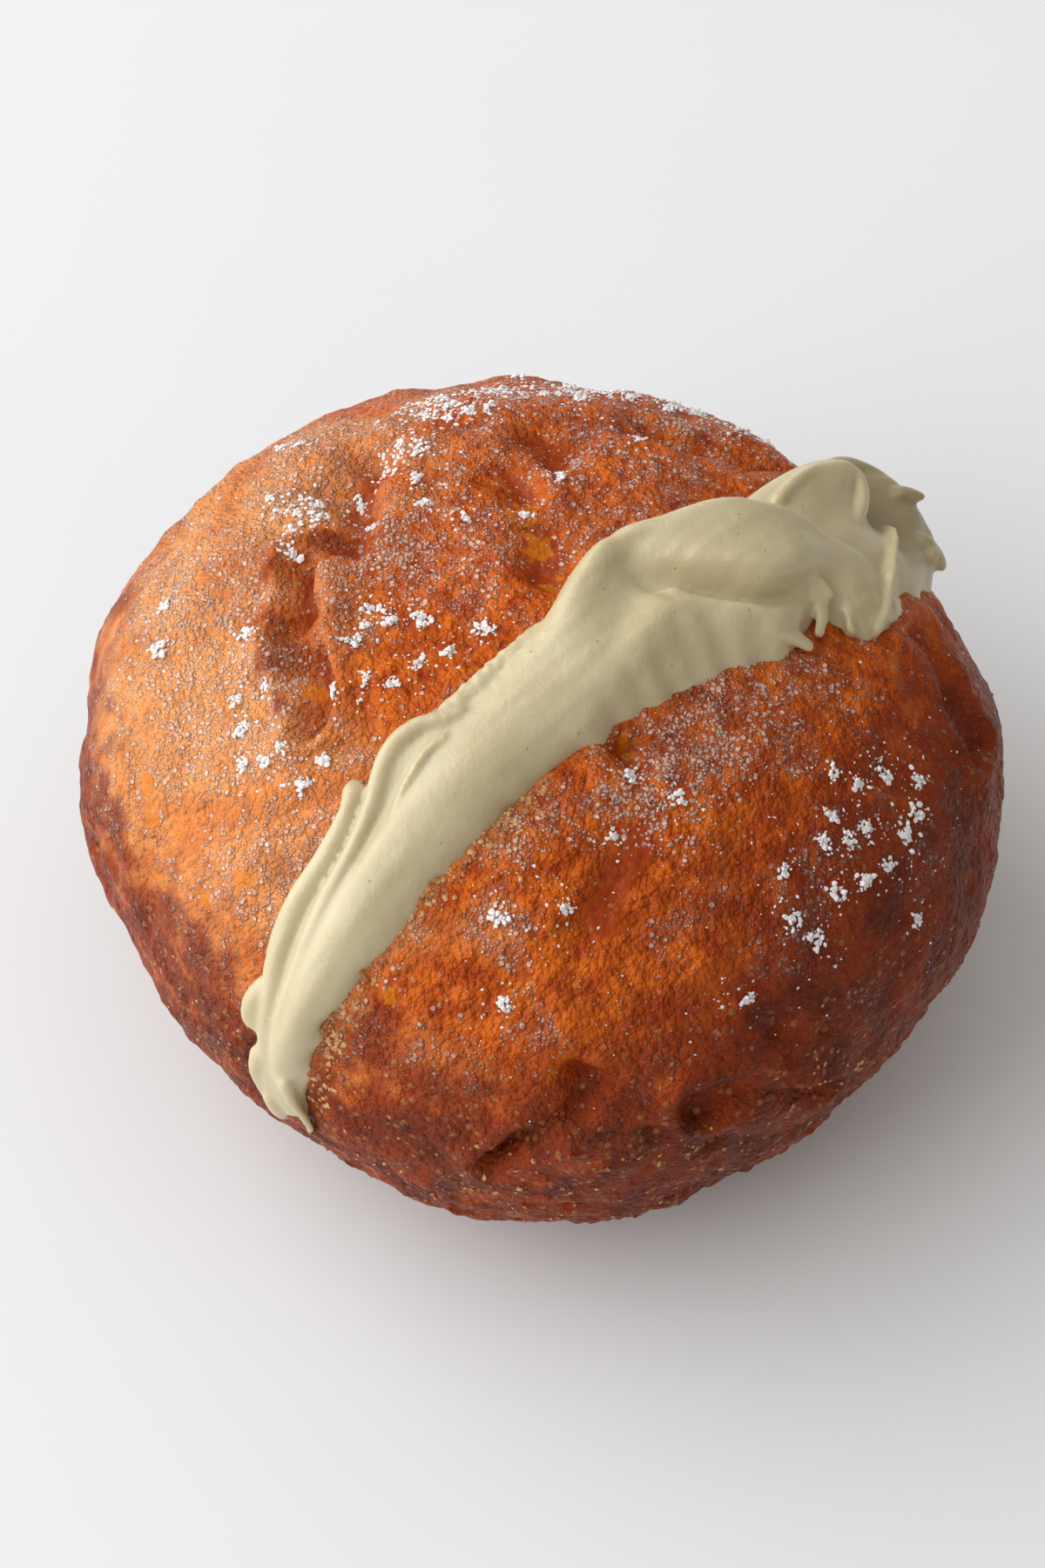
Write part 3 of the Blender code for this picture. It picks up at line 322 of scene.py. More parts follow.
# Colours, in linear light, singly or as the two that a noise mixes.
CRUST_WARM = ((0.36, 0.043, 0.003), (0.68, 0.138, 0.007))
# Paler crust, painted light on the side towards the window.
CRUST_PAINTED_LIGHT = ((0.78, 0.25, 0.050), (0.96, 0.50, 0.19))
# Brown and near black where the crust is burnt, low down and away from the window: browning with painted
# shade.
CRUST_BROWN = (0.24, 0.028, 0.004)
CRUST_BURNT_AND_SHADE = (0.060, 0.010, 0.003)
CRUST_HOLLOW = (0.30, 0.036, 0.003)
CRUST_GOLD = (0.66, 0.19, 0.008)
# The dark frost goes where the crust is burnt and where painted shade falls.
FROST = ((0.95, 0.69, 0.57), (0.44, 0.25, 0.21))
FLECK = (0.46, 0.21, 0.07)
LIP_CRUMB_COLOURS = ((0.46, 0.15, 0.03), (0.78, 0.42, 0.18))
CREAM = ((0.562, 0.480, 0.285), (0.625, 0.543, 0.343))
CREAM_SPECK = (0.26, 0.20, 0.10)
# Painted shade for the back lobe's bowl.
CREAM_LOBE_SHADE = (0.31, 0.25, 0.13)
WHITE_SUGAR = ((0.90, 0.90, 0.91), (0.97, 0.97, 0.98))
MELTED_SUGAR = ((0.44, 0.19, 0.12), (0.68, 0.45, 0.37))
CRUMBS = ((0.34, 0.11, 0.03), (0.62, 0.34, 0.14))
FLOOR = ((0.83, 0.852, 0.872), (0.86, 0.882, 0.902))

# Radius of the floor, in metres.
FLOOR_RADIUS = 1.6

# The view: the photograph's camera, in millimetres and degrees.
VIEW_RISE = 55.0
VIEW_DISTANCE = 420.0
VIEW_TARGET = (-1.94, -0.05, 30.0)
LENS = 91.0
SENSOR = 36.0


def unit(azimuth, elevation):
    """Unit direction from the heart."""
    turn, rise = math.radians(azimuth), math.radians(elevation)
    return np.array([math.cos(rise) * math.cos(turn), math.cos(rise) * math.sin(turn), math.sin(rise)])


HEART = np.array([CENTRE_SHIFT[0], CENTRE_SHIFT[1], HEART_HEIGHT])
ALONG = unit(CUT_TURN, 0)
ACROSS = unit(CUT_TURN + 90, 0)
UP = np.array([0.0, 0.0, 1.0])


def crust_radius(directions):
    """Distance from the heart to the smooth crust, along unit directions."""
    x, y, z = directions.T
    turn = np.arctan2(y, x)
    level = np.hypot(x, y)
    reach = 1 / np.hypot(np.cos(turn) / HALF_WIDTH, np.sin(turn) / HALF_DEPTH)
    for lobes, (cosine, sine) in enumerate(PLAN_LOBES, start=2):
        reach = reach * (1 + cosine * np.cos(lobes * turn) + sine * np.sin(lobes * turn))
    rise = np.where(z > 0, TOP_RISE, BOTTOM_DROP)
    return ((level / reach) ** FULLNESS + (np.abs(z) / rise) ** FULLNESS) ** (-1 / FULLNESS)


def on_crust(azimuth, elevation):
    """Point of the smooth crust, from the heart."""
    direction = unit(azimuth, elevation)
    return direction * crust_radius(direction[None, :])[0]


def distance_to_line(points, line):
    """Shortest distance from each point to a line through some points, or to a single point."""
    nearest = np.linalg.norm(points - line[0], axis=1)
    for start, end in zip(line[:-1], line[1:]):
        run = end - start
        part = np.clip((points - start) @ run / (run @ run), 0, 1)
        nearest = np.minimum(nearest, np.linalg.norm(points - start - part[:, None] * run, axis=1))
    return nearest


def turns_at(points):
    """How far the crust's marks wander at each point, along three axes, from -1 to 1."""
    places = [Vector(point / WANDER_SPACING) for point in points]
    shifts = [Vector((offset,) * 3) for offset in WANDER_OFFSETS]
    return np.array([[noise.noise(place + shift) for shift in shifts] for place in places])


def crust_relief(points):
    """Height of the swells, creases, pits and knobs at points of the smooth crust, from the heart."""
    relief = np.zeros(len(points))
    for height, spacing, offset in SWELLS:
        shift = Vector((offset,) * 3)
        relief += height * np.array([noise.noise(Vector(point / spacing) + shift) for point in points])
    turns = turns_at(points)
    strength = 1 + CREASE_UNEVEN * turns.sum(axis=1)
    for line, width, depth, lip in CREASES.values():
        away = distance_to_line(points + WANDER * turns, [on_crust(*place) for place in line])
        relief -= strength * depth * np.exp(-(away / width) ** 2)
        relief += strength * lip * np.exp(-((away - 2 * width) / width) ** 2)
    for azimuth, elevation, radius in PITS:
        apart = distance_to_line(points, [on_crust(azimuth, elevation)])
        relief -= PIT_DEPTH * np.exp(-(apart / radius) ** 2)
    for azimuth, elevation, radius, height in KNOBS:
        apart = distance_to_line(points, [on_crust(azimuth, elevation)])
        relief += height * np.exp(-(apart / radius) ** 2)
    return relief


def lip_dip(points):
    """Depth to which the crust rolls in towards the cut."""
    away = points @ ACROSS - CUT_OFFSET
    above = 1 / (1 + np.exp(-points[:, 2] / 2))
    return LIP_DIP * np.exp(-(away / LIP_REACH) ** 2) * above


def above_crust(angle, offset, lift):
    """Points over the smooth crust, from the angle along the cut, the offset across it and the lift."""
    angle, offset, lift = np.broadcast_arrays(np.radians(angle), offset, lift)
    outward = -np.cos(angle)[..., None] * ALONG + np.sin(angle)[..., None] * UP
    start = np.asarray(offset, float)[..., None] * ACROSS
    near, far = np.zeros(angle.shape), np.full(angle.shape, BEYOND)
    for _ in range(HALVINGS):
        middle = (near + far) / 2
        point = start + middle[..., None] * outward
        length = np.linalg.norm(point, axis=-1)
        directions = (point / length[..., None]).reshape(-1, 3)
        inside = length < crust_radius(directions).reshape(angle.shape)
        near, far = np.where(inside, middle, near), np.where(inside, far, middle)
    return start + (near + lift)[..., None] * outward + HEART


def smooth_rows(rows, count):
    """Rows of a table, spread along a smooth curve through them."""
    rows = np.array(rows, float)
    padded = np.vstack([2 * rows[0] - rows[1], rows, 2 * rows[-1] - rows[-2]])
    places = np.linspace(0, len(rows) - 1.0001, count)
    index = places.astype(int)
    t = (places - index)[:, None]
    a, b, c, d = (padded[index + step] for step in range(4))
    square, cube = 2 * a - 5 * b + 4 * c - d, 3 * b - a - 3 * c + d
    return 0.5 * (2 * b + (c - a) * t + square * t**2 + cube * t**3)


def section_rings(rows, stations, sides):
    """Rings of a ribbon of cream: a smooth curve through each section's points, closed below."""
    table = [(angle, *offsets, *lifts) for angle, offsets, lifts in rows]
    across = np.linspace(0, 1, sides)
    under = np.linspace(0, 1, sides // 2)[1:-1, None]
    rings = []
    for angle, *values in smooth_rows(table, stations):
        upper = smooth_rows(np.reshape(values, (2, -1)).T, sides)
        upper[:, 0] += EDGE_WAVER * noise.noise(Vector((angle / EDGE_SPACING, 0, 0))) * across**7
        lower = upper[-1] + (upper[0] - upper[-1]) * under - UNDERSIDE * np.sin(np.pi * under) * (0, 1)
        offset, lift = np.vstack([upper, lower]).T
        rings.append(above_crust(angle, offset, lift))
    return np.array(rings)


def strand_rings(rows, stations, sides):
    """Rings of a roll or a leaf of cream: elliptical sections with rounded ends."""
    angle, offset, lift, half_width, half_thickness = smooth_rows(rows, stations).T
    centres = above_crust(angle, offset, lift)
    outward = above_crust(angle, offset, lift + 1) - centres
    forward = np.gradient(centres, axis=0)
    sideways = np.cross(forward, outward)
    sideways /= np.linalg.norm(sideways, axis=1)[:, None]
    run = np.insert(np.cumsum(np.linalg.norm(np.diff(centres, axis=0), axis=1)), 0, 0)
    ends = np.clip(np.minimum(run, run[-1] - run) / half_width, 0.02, 1)
    ends = np.sqrt(1 - (1 - ends) ** 2)
    turn = np.linspace(0, 2 * np.pi, sides, endpoint=False)[None, :, None]
    across = (half_width * ends)[:, None, None] * np.cos(turn) * sideways[:, None]
    upward = (half_thickness * ends)[:, None, None] * np.sin(turn) * outward[:, None]
    return centres[:, None] + across + upward


def cut_rings(inset=0.0):
    """Rings of the blade-shaped cut, along its length, narrowed by an inset."""
    rings = []
    for place, half_width, floor in smooth_rows(CUT_STATIONS, 13):
        half_width -= inset
        floor += inset
        crust = HEART_HEIGHT + math.sqrt(max(0, 1 - (place / HALF_WIDTH) ** 2)) * TOP_RISE
        slope = (half_width - CUT_FLOOR_HALF) / max(8, crust - floor)
        top_half = CUT_FLOOR_HALF + slope * (CUT_TOP - floor)
        corners = ((-top_half, CUT_TOP), (-CUT_FLOOR_HALF, floor),
                   (CUT_FLOOR_HALF, floor), (top_half, CUT_TOP))
        rings.append([HEART * (1, 1, 0) + ALONG * place + ACROSS * (CUT_OFFSET + side) + UP * height
                      for side, height in corners])
    return np.array(rings)


def loft(shape, rings):
    """Adds a closed skin over rings of equal length to a bmesh."""
    grid = [[shape.verts.new(Vector(point) * MM) for point in ring] for ring in rings]
    for first, second in zip(grid[:-1], grid[1:]):
        for i in range(len(first)):
            j = (i + 1) % len(first)
            shape.faces.new((first[i], first[j], second[j], second[i]))
    for ring in (grid[0], grid[-1]):
        middle = shape.verts.new(sum((vert.co for vert in ring), Vector()) / len(ring))
        for i in range(len(ring)):
            shape.faces.new((ring[i], ring[(i + 1) % len(ring)], middle))


def add_object(name, shape, finish=None):
    """Object of a bmesh, with its faces pointing out."""
    bmesh.ops.recalc_face_normals(shape, faces=shape.faces)
    mesh = bpy.data.meshes.new(name)
    shape.to_mesh(mesh)
    shape.free()
    mesh.shade_smooth()
    if finish:
        mesh.materials.append(finish)
    made = bpy.data.objects.new(name, mesh)
    bpy.context.scene.collection.objects.link(made)
    return made


def apply_modifiers(made):
    """Replaces an object's mesh with its evaluated mesh."""
    bpy.context.view_layer.update()
    graph = bpy.context.evaluated_depsgraph_get()
    mesh = bpy.data.meshes.new_from_object(made.evaluated_get(graph))
    made.modifiers.clear()
    made.data = mesh


def boolean(made, operation, other, solver="EXACT"):
    """Applies a Boolean with another object."""
    cut = made.modifiers.new("Boolean", "BOOLEAN")
    cut.operation = operation
    cut.solver = solver
    cut.object = other
    apply_modifiers(made)


def cream_reach(point):
    """How far a point lies inside the band that the cream covers, in millimetres."""
    from_heart = point - HEART
    angle = math.degrees(math.atan2(from_heart[2], -(from_heart @ ALONG)))
    rows = np.array([(row[0], row[1][0], row[1][-1]) for row in SECTIONS + BACK_SECTIONS])
    near = rows[np.abs(rows[:, 0] - angle) < BAND_NEAR]
    if not len(near):
        return -SUGAR_CLEAR if BAND_ENDS[0] < angle < BAND_ENDS[1] else -FAR_OFF
    offset = from_heart @ ACROSS
    left = max(near[:, 1].max(), FOLD_EDGE if angle < FOLD_END else -FAR_OFF)
    return min(left - offset, offset - near[:, 2].min())


def sugar_places():
    """Direction from the heart and size of each lump of sugar, scattered in the patches."""
    draw = random.Random(SUGAR_SEED)
    places = []
    for azimuth, elevation, spread, count in SUGAR_PATCHES:
        centre = on_crust(azimuth, elevation)
        tries = 0
        while count and tries < SUGAR_TRIES:
            tries += 1
            aim = centre + np.array([draw.gauss(0, spread) for _ in range(3)])
            direction = aim / np.linalg.norm(aim)
            size = draw.uniform(*SUGAR_RADII)
            point = direction * crust_radius(direction[None, :])[0] + HEART
            apart = min([np.linalg.norm(direction - other) for other, _ in places], default=1)
            open_crust = cream_reach(point) < -SUGAR_CLEAR and direction[2] > 0.1
            if open_crust and apart * HALF_WIDTH > SUGAR_APART:
                places.append((direction, size))
                count -= 1
    return places


def scaled(point):
    """A point in metres, from millimetres."""
    return Vector(point) * MM


def ride_on_part(made, slot, *nodes):
    """Fixes a piece to the part and hides the nodes that it stands for; the slot is not used."""
    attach(made, BODY)
    if nodes:
        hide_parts(*nodes)


def fine_directions():
    """A sphere of directions, finer on the side that is seen from the front and above."""
    shape = bmesh.new()
    bmesh.ops.create_icosphere(shape, subdivisions=CRUST_DETAIL, radius=1)
    side = Vector(FINE_SIDE).normalized()
    faces = [face for face in shape.faces if face.calc_center_median() @ side > FINE_BEYOND]
    edges = sorted({edge for face in faces for edge in face.edges}, key=lambda edge: edge.index)
    bmesh.ops.subdivide_edges(shape, edges=edges, cuts=1, use_grid_fill=True)
    bmesh.ops.triangulate(shape, faces=[face for face in shape.faces if len(face.verts) > 3])
    for vert in shape.verts:
        vert.co.normalize()
    return shape


def noise_at(points, spacing, offset):
    """Noise of about -1 to 1 at points."""
    return np.array([noise.noise(Vector(point / spacing) + Vector((offset,) * 3)) for point in points])


def lip_nearness(points):
    """How near points are to the cut's right lip, from 0 to 1, on the front half of the bun."""
    angle = np.degrees(np.arctan2(points[:, 2], -(points @ ALONG)))
    place = points @ ALONG
    stations, halves, _ = zip(*CUT_STATIONS)
    half = np.interp(place, stations, halves)
    away = points @ ACROSS - (CUT_OFFSET - half)
    front = 1 / (1 + np.exp((angle - 62) / 5)) / (1 + np.exp((4 - angle) / 3))
    return np.exp(-(away / 1.0) ** 2) * front


def grain_relief(points):
    """Fine grain of the sugared crust, coarse and porous on the lower flank, crumbly at the lip."""
    relief = np.zeros(len(points))
    for height, spacing, offset in GRAIN:
        relief += height * noise_at(points, spacing, offset)
    rightward = 0.4 + 0.6 / (1 + np.exp(-(points[:, 0] - 2) / 8))
    low = 1 / (1 + np.exp((points[:, 2] + 9) / 3)) * rightward
    pores = np.clip(2.2 * noise_at(points, *PORES) - 0.45, 0, 1)
    crumble = LIP_CRUMB * lip_nearness(points) * (0.4 + 2 * noise_at(points, *CRUMBLE))
    return relief * (1 + LOWER_COARSE * low) - PORE_DEPTH * low * pores + crumble


def make_crust(blade, finish):
    """The dough's surface, with the cut."""
    shape = fine_directions()
    directions = np.array([vert.co for vert in shape.verts])
    smooth = directions * crust_radius(directions)[:, None]
    lift = crust_relief(smooth) - lip_dip(smooth) + grain_relief(smooth)
    points = smooth + directions * lift[:, None] + HEART
    points[:, 2] = np.maximum(points[:, 2], 0)
    for vert, point in zip(shape.verts, points):
        vert.co = scaled(point)
    made = add_object("crust", shape, finish)
    boolean(made, "DIFFERENCE", blade, "MANIFOLD")
    made.data.shade_smooth()
    paint_crust(made)
    return made


def spread(points, places, wobble):
    """Greatest nearness of points to some places of the crust, from 0 to 1, with an uneven edge."""
    near = np.zeros(len(points))
    for azimuth, elevation, radius in places:
        away = distance_to_line(points, [on_crust(azimuth, elevation)]) / radius
        near = np.maximum(near, np.clip(1.35 - away - wobble, 0, 1))
    return near


def paint_crust(made):
    """Stores, at each point of the crust, how burnt it is with painted shade added low down and away from
    the window, how golden it is, how much paler it is with painted light towards the window, and how sugared
    and crumbly it is.
    """
    points = np.array([vert.co for vert in made.data.vertices]) / MM - HEART
    length = np.linalg.norm(points, axis=1)
    directions = points / length[:, None]
    smooth = directions * crust_radius(directions)[:, None]
    depth = np.linalg.norm(smooth, axis=1) - length
    broad = noise_at(smooth, *BROAD)
    fine = noise_at(smooth, *FINE)
    turns = turns_at(smooth)
    hollow = np.zeros(len(points))
    for line, width, _, _ in CREASES.values():
        away = distance_to_line(smooth + WANDER * turns, [on_crust(*place) for place in line])
        hollow = np.maximum(hollow, np.exp(-(away / (0.9 * width)) ** 2))
    rise = np.degrees(np.arcsin(directions[:, 2]))
    low = np.clip((27 - rise) / 24, 0, 1)
    burnt_and_shade = 0.66 * spread(smooth, BURNT, 0.5 + 0.6 * broad + 0.4 * fine)
    dark = np.clip((directions @ unit(*DARK_SIDE) - DARK_EDGE) / (DARK_CORE - DARK_EDGE), 0, 1)
    # Darker towards the bottom and on the side away from the window: deeper browning with painted shade.
    burnt_and_shade = burnt_and_shade + low * (0.85 + 0.7 * fine) + 0.95 * dark + 0.35 * np.clip(broad, 0, 1)
    golden = spread(smooth, GOLDEN, 0.3 * fine + 1.3 * noise_at(smooth, *TINY))
    # Paler towards the window, between low and high: painted light, which also adds sugar.
    pale = np.clip(1.1 * (-directions[:, 0] - 0.15) + 0.5 * broad, 0, 1) * np.clip((rise + 8) / 16, 0, 1)
    pale = pale * np.clip((62 - rise) / 16, 0, 1) * (1 - np.clip(burnt_and_shade, 0, 1))
    bloom = 0.37 + 0.75 * broad + 0.6 * fine + 0.50 * spread(smooth, FROSTED_PLACES, broad) + 0.38 * pale
    bloom = bloom - 0.62 * spread(smooth, CLEAR_PLACES, 0.8 * broad) - 0.62 * low
    bloom = np.clip(bloom, 0.04, 1) * (1 - 0.85 * hollow) * (1 - golden)
    inside = np.clip((depth - 3.5) / 1.5, 0, 1) * (rise > -10)
    inside = np.maximum(inside, 0.7 * lip_nearness(smooth) * np.clip(0.7 + 1.8 * fine, 0, 1))
    painted = {"burnt_and_shade": burnt_and_shade, "golden": golden, "hollow": hollow, "pale": pale, "bloom": bloom,
               "crumb": inside, "coarse": low}
    for name, values in painted.items():
        layer = made.data.attributes.new(name, "FLOAT", "POINT")
        layer.data.foreach_set("value", np.clip(values, 0, 1).astype(np.float32))


def make_cream(finish):
    """The cream as one smooth skin over its ribbon, lobes, folds and strings."""
    shape = bmesh.new()
    loft(shape, cut_rings(CREAM_SINK))
    filling = add_object("cream_form", shape, finish)
    core = bmesh.new()
    bmesh.ops.create_icosphere(core, subdivisions=5, radius=1)
    directions = np.array([vert.co.normalized() for vert in core.verts])
    for vert, direction, reach in zip(core.verts, directions, crust_radius(directions)):
        vert.co = scaled(direction * (reach - 0.6) + HEART)
    core_object = add_object("core_form", core)
    boolean(filling, "INTERSECT", core_object)
    shape = bmesh.new()
    shape.from_mesh(filling.data)
    loft(shape, section_rings(SECTIONS, 330, 110))
    loft(shape, section_rings(BACK_SECTIONS, 130, 90))
    for rows in STRANDS.values():
        loft(shape, strand_rings(rows, 26 * len(rows), 34))
    for helper_object in (filling, core_object):
        bpy.data.objects.remove(helper_object)
    made = add_object("cream_filling", shape, finish)
    skin = made.modifiers.new("One skin", "REMESH")
    skin.mode = "VOXEL"
    skin.voxel_size = CREAM_SKIN * MM
    skin.use_smooth_shade = True
    smooth = made.modifiers.new("Soften", "SMOOTH")
    smooth.factor = 0.5
    smooth.iterations = 4
    apply_modifiers(made)
    roughen_cream(made)
    made.data.shade_smooth()
    return made


def nearness(place, *values):
    """How near an angle and an offset are to a place of the cream, from 0 to 1."""
    near = 1.0
    for value, (middle, spread_out, power) in zip(values, place):
        near *= math.exp(-((value - middle) / spread_out) ** power)
    return near


def roughen_cream(made):
    """Draws fine ridges along the cream's flow, roughens its frosted fold and marks the back lobe's bowl for
    painted shade.
    """
    shape = bmesh.new()
    shape.from_mesh(made.data)
    shape.normal_update()
    lobe_shade = []
    for vert in shape.verts:
        point = np.array(vert.co) / MM - HEART
        angle = math.degrees(math.atan2(point[2], -(point @ ALONG)))
        offset = point @ ACROSS
        # Painted shade: how near the point lies to the back lobe's bowl.
        lobe_shade.append(nearness(SHADED_LOBE, angle, offset))
        flow = Vector((angle / 16, offset / 1.3, point[2] / 9))
        lift = 0.09 * noise.noise(flow)
        lift += 0.22 * nearness(FROSTED_FOLD, angle, offset) * noise.noise(Vector(point) / 0.8)
        lift += 0.3 * nearness(TORN_EDGE, angle, offset) * noise.noise(Vector(point) / 1.3)
        vert.co += vert.normal * lift * MM
    shape.to_mesh(made.data)
    shape.free()
    layer = made.data.attributes.new("lobe_shade", "FLOAT", "POINT")
    layer.data.foreach_set("value", np.array(lobe_shade, np.float32))


def uneven_grain(shape, draw, seat, normal, size):
    """Adds a small ragged grain to a bmesh."""
    made = bmesh.ops.create_icosphere(shape, subdivisions=1, radius=1)
    upright = Vector((0, 0, 1)).rotation_difference(normal).to_matrix()
    turned = upright @ Matrix.Rotation(draw.uniform(0, 6.28), 3, "Z")
    stretch = Vector((draw.uniform(0.7, 1.4), draw.uniform(0.7, 1.4), draw.uniform(0.45, 0.9)))
    for vert in made["verts"]:
        vert.co = seat + turned @ (Vector(vert.co) * stretch) * size * draw.uniform(0.6, 1.3) * MM


def crust_seat(crust, direction):
    """Where a ray towards the heart meets the crust, and the crust's normal there."""
    seat, normal, _, _ = crust.ray_cast(scaled(HEART + BEYOND * direction), -Vector(direction))
    return seat, normal


def beside(draw, direction, spread):
    """A direction near another, spread by millimetres on the crust."""
    aim = direction * HALF_WIDTH + np.array([draw.gauss(0, spread) for _ in range(3)])
    return aim / np.linalg.norm(aim)


def make_sugar(crust, finish):
    """White sugar: flat ragged flakes of grains, specks about them, and dust over the top."""
    draw = random.Random(SUGAR_SEED + 2)
    lumps = bmesh.new()
    loose = bmesh.new()
    for direction, size in sugar_places():
        lean = draw.uniform(0, math.pi)
        for _ in range(draw.randint(*GRAINS_IN_LUMP)):
            seat, normal = crust_seat(crust, beside(draw, direction, LUMP_WIDTH * size))
            along = Vector((math.cos(lean), math.sin(lean), 0)) * draw.gauss(0, LUMP_LENGTH * size) * MM
            seat = seat + along - normal * along.dot(normal)
            seat = seat + normal * (draw.uniform(*LUMP_LIFT) * size * MM)
            grain = draw.uniform(*LUMP_GRAINS) * (0.5 + 0.6 * size)
            uneven_grain(lumps, draw, seat, normal, grain)
        for _ in range(draw.randint(*SPECKS_BY_LUMP)):
            seat, normal = crust_seat(crust, beside(draw, direction, SPECK_SPREAD * size))
            uneven_grain(loose, draw, seat, normal, draw.uniform(*SPECK_SIZES))
    for azimuth, elevation, spread_out, count in SUGAR_PATCHES:
        for _ in range(int(PATCH_GRAINS * (1 + count) * 0.5)):
            aim = beside(draw, unit(azimuth, elevation), 1.4 + 0.9 * spread_out)
            seat, normal = crust_seat(crust, aim)
            if cream_reach(np.array(seat) / MM) < -0.8:
                uneven_grain(loose, draw, seat, normal, draw.uniform(*SPECK_SIZES))
    for azimuth, elevation, spread_out, count in DUSTED_PLACES:
        for _ in range(count):
            seat, normal = crust_seat(crust, beside(draw, unit(azimuth, elevation), spread_out))
            uneven_grain(loose, draw, seat, normal, draw.uniform(*LUMP_GRAINS))
    for _ in range(DUST_GRAINS):
        direction = unit(draw.uniform(-180, 180), math.degrees(math.asin(draw.uniform(0.2, 1))))
        if draw.random() > 0.4 + 0.6 * max(0, direction[1]):
            continue
        seat, normal = crust_seat(crust, direction)
        if cream_reach(np.array(seat) / MM) < -0.6:
            uneven_grain(loose, draw, seat, normal, draw.uniform(*DUST_SIZES))
    for name, shape in (("sugar_lumps", lumps), ("sugar_grains", loose)):
        made = add_object(name, shape, finish)
        made.data.shade_flat()
        ride_on_part(made, "crust")


def make_crystals(crust, finish):
    """Half-melted grains of sugar, in clusters where the crust has much sugar."""
    draw = random.Random(SUGAR_SEED + 9)
    shape = bmesh.new()
    for azimuth, elevation, radius in FROSTED_PLACES:
        for _ in range(int(CRYSTALS_BY_AREA * math.pi * radius**2)):
            seat, normal = crust_seat(crust, beside(draw, unit(azimuth, elevation), 0.55 * radius))
            cluster = noise.noise(seat / (CRYSTAL_CLUSTER * MM))
            if cluster > draw.uniform(-0.25, 0.15) and cream_reach(np.array(seat) / MM) < -0.3:
                uneven_grain(shape, draw, seat, normal, draw.uniform(*CRYSTAL_SIZES))
    made = add_object("sugar_crystals", shape, finish)
    made.data.shade_smooth()
    ride_on_part(made, "crust")


def make_crumbs(crust, finish):
    """Crumbs of crust: along the lip of the cut and on the coarse lower flank."""
    draw = random.Random(SUGAR_SEED + 5)
    shape = bmesh.new()
    for _ in range(LIP_CRUMBS):
        angle = draw.uniform(*LIP_ANGLES)
        place = above_crust(angle, CUT_OFFSET - draw.gauss(*LIP_BAND), 0.0) - HEART
        seat, normal = crust_seat(crust, place / np.linalg.norm(place))
        uneven_grain(shape, draw, seat, normal, draw.uniform(*CRUMB_SIZES))
    for _ in range(LOW_CRUMBS):
        seat, normal = crust_seat(crust, unit(draw.uniform(*LOW_TURNS), draw.gauss(*LOW_RISE)))
        uneven_grain(shape, draw, seat, normal, draw.uniform(*CRUMB_SIZES) * LOW_CRUMB_SHARE)
    made = add_object("crumbs", shape, finish)
    made.data.shade_flat()
    ride_on_part(made, "crust")


class Surface:
    """A Principled material whose nodes are added by short calls."""

    def __init__(self, name):
        self.material = bpy.data.materials.new(name)
        self.material.use_nodes = True
        self.tree = self.material.node_tree
        self.shader = self.tree.nodes["Principled BSDF"]
        self.place = self.add("ShaderNodeTexCoord").outputs["Object"]

    def add(self, kind, inputs=None, **settings):
        made = self.tree.nodes.new(kind)
        for key, value in settings.items():
            setattr(made, key, value)
        for key, value in (inputs or {}).items():
            if isinstance(value, bpy.types.NodeSocket):
                self.tree.links.new(value, made.inputs[key])
            else:
                made.inputs[key].default_value = value
        return made

    def noise(self, spacing, detail=2.0, rough=0.5):
        """Noise of about 0 to 1, with features of a spacing in millimetres."""
        inputs = {"Vector": self.place, "Scale": 1 / (spacing * MM), "Detail": detail, "Roughness": rough}
        return self.add("ShaderNodeTexNoise", inputs).outputs["Fac"]

    def cells(self, spacing):
        """Distance from the middle of cells of a spacing in millimetres."""
        inputs = {"Vector": self.place, "Scale": 1 / (spacing * MM)}
        return self.add("ShaderNodeTexVoronoi", inputs).outputs["Distance"]

    def granules(self, spacing, density):
        """Round grains of a spacing in millimetres, of which a share of 0 to 1 is there."""
        inputs = {"Vector": self.place, "Scale": 1 / (spacing * MM)}
        grains = self.add("ShaderNodeTexVoronoi", inputs)
        draw = self.add("ShaderNodeSeparateColor", {"Color": grains.outputs["Color"]}).outputs[0]
        there = self.between(self.sum("SUBTRACT", draw, density), 0.05, -0.05)
        return self.sum("MULTIPLY", there, self.between(grains.outputs["Distance"], 0.62, 0.30))

    def attribute(self, name):
        return self.add("ShaderNodeAttribute", attribute_name=name).outputs["Fac"]

    def sum(self, operation, first, second=0.0):
        return self.add("ShaderNodeMath", {0: first, 1: second}, operation=operation).outputs[0]

    def between(self, value, low, high, out_low=0.0, out_high=1.0):
        """Maps a value from one range to another, smoothly and held at the ends."""
        inputs = {"Value": value, "From Min": low, "From Max": high,
                  "To Min": out_low, "To Max": out_high}
        return self.add("ShaderNodeMapRange", inputs, interpolation_type="SMOOTHSTEP").outputs["Result"]

    def mix(self, part, first, second):
        made = self.add("ShaderNodeMix", data_type="RGBA")
        for key, value in ((0, part), (6, first), (7, second)):
            if isinstance(value, bpy.types.NodeSocket):
                self.tree.links.new(value, made.inputs[key])
            else:
                made.inputs[key].default_value = (*value, 1) if key else value
        return made.outputs[2]

    def link(self, output, name):
        self.tree.links.new(output, self.shader.inputs[name])

    def bump(self, height, distance, strength=1.0):
        inputs = {"Height": height, "Distance": distance * MM, "Strength": strength}
        self.link(self.add("ShaderNodeBump", inputs).outputs["Normal"], "Normal")

    def fixed(self, **values):
        for name, value in values.items():
            self.shader.inputs[name.replace("_", " ")].default_value = value


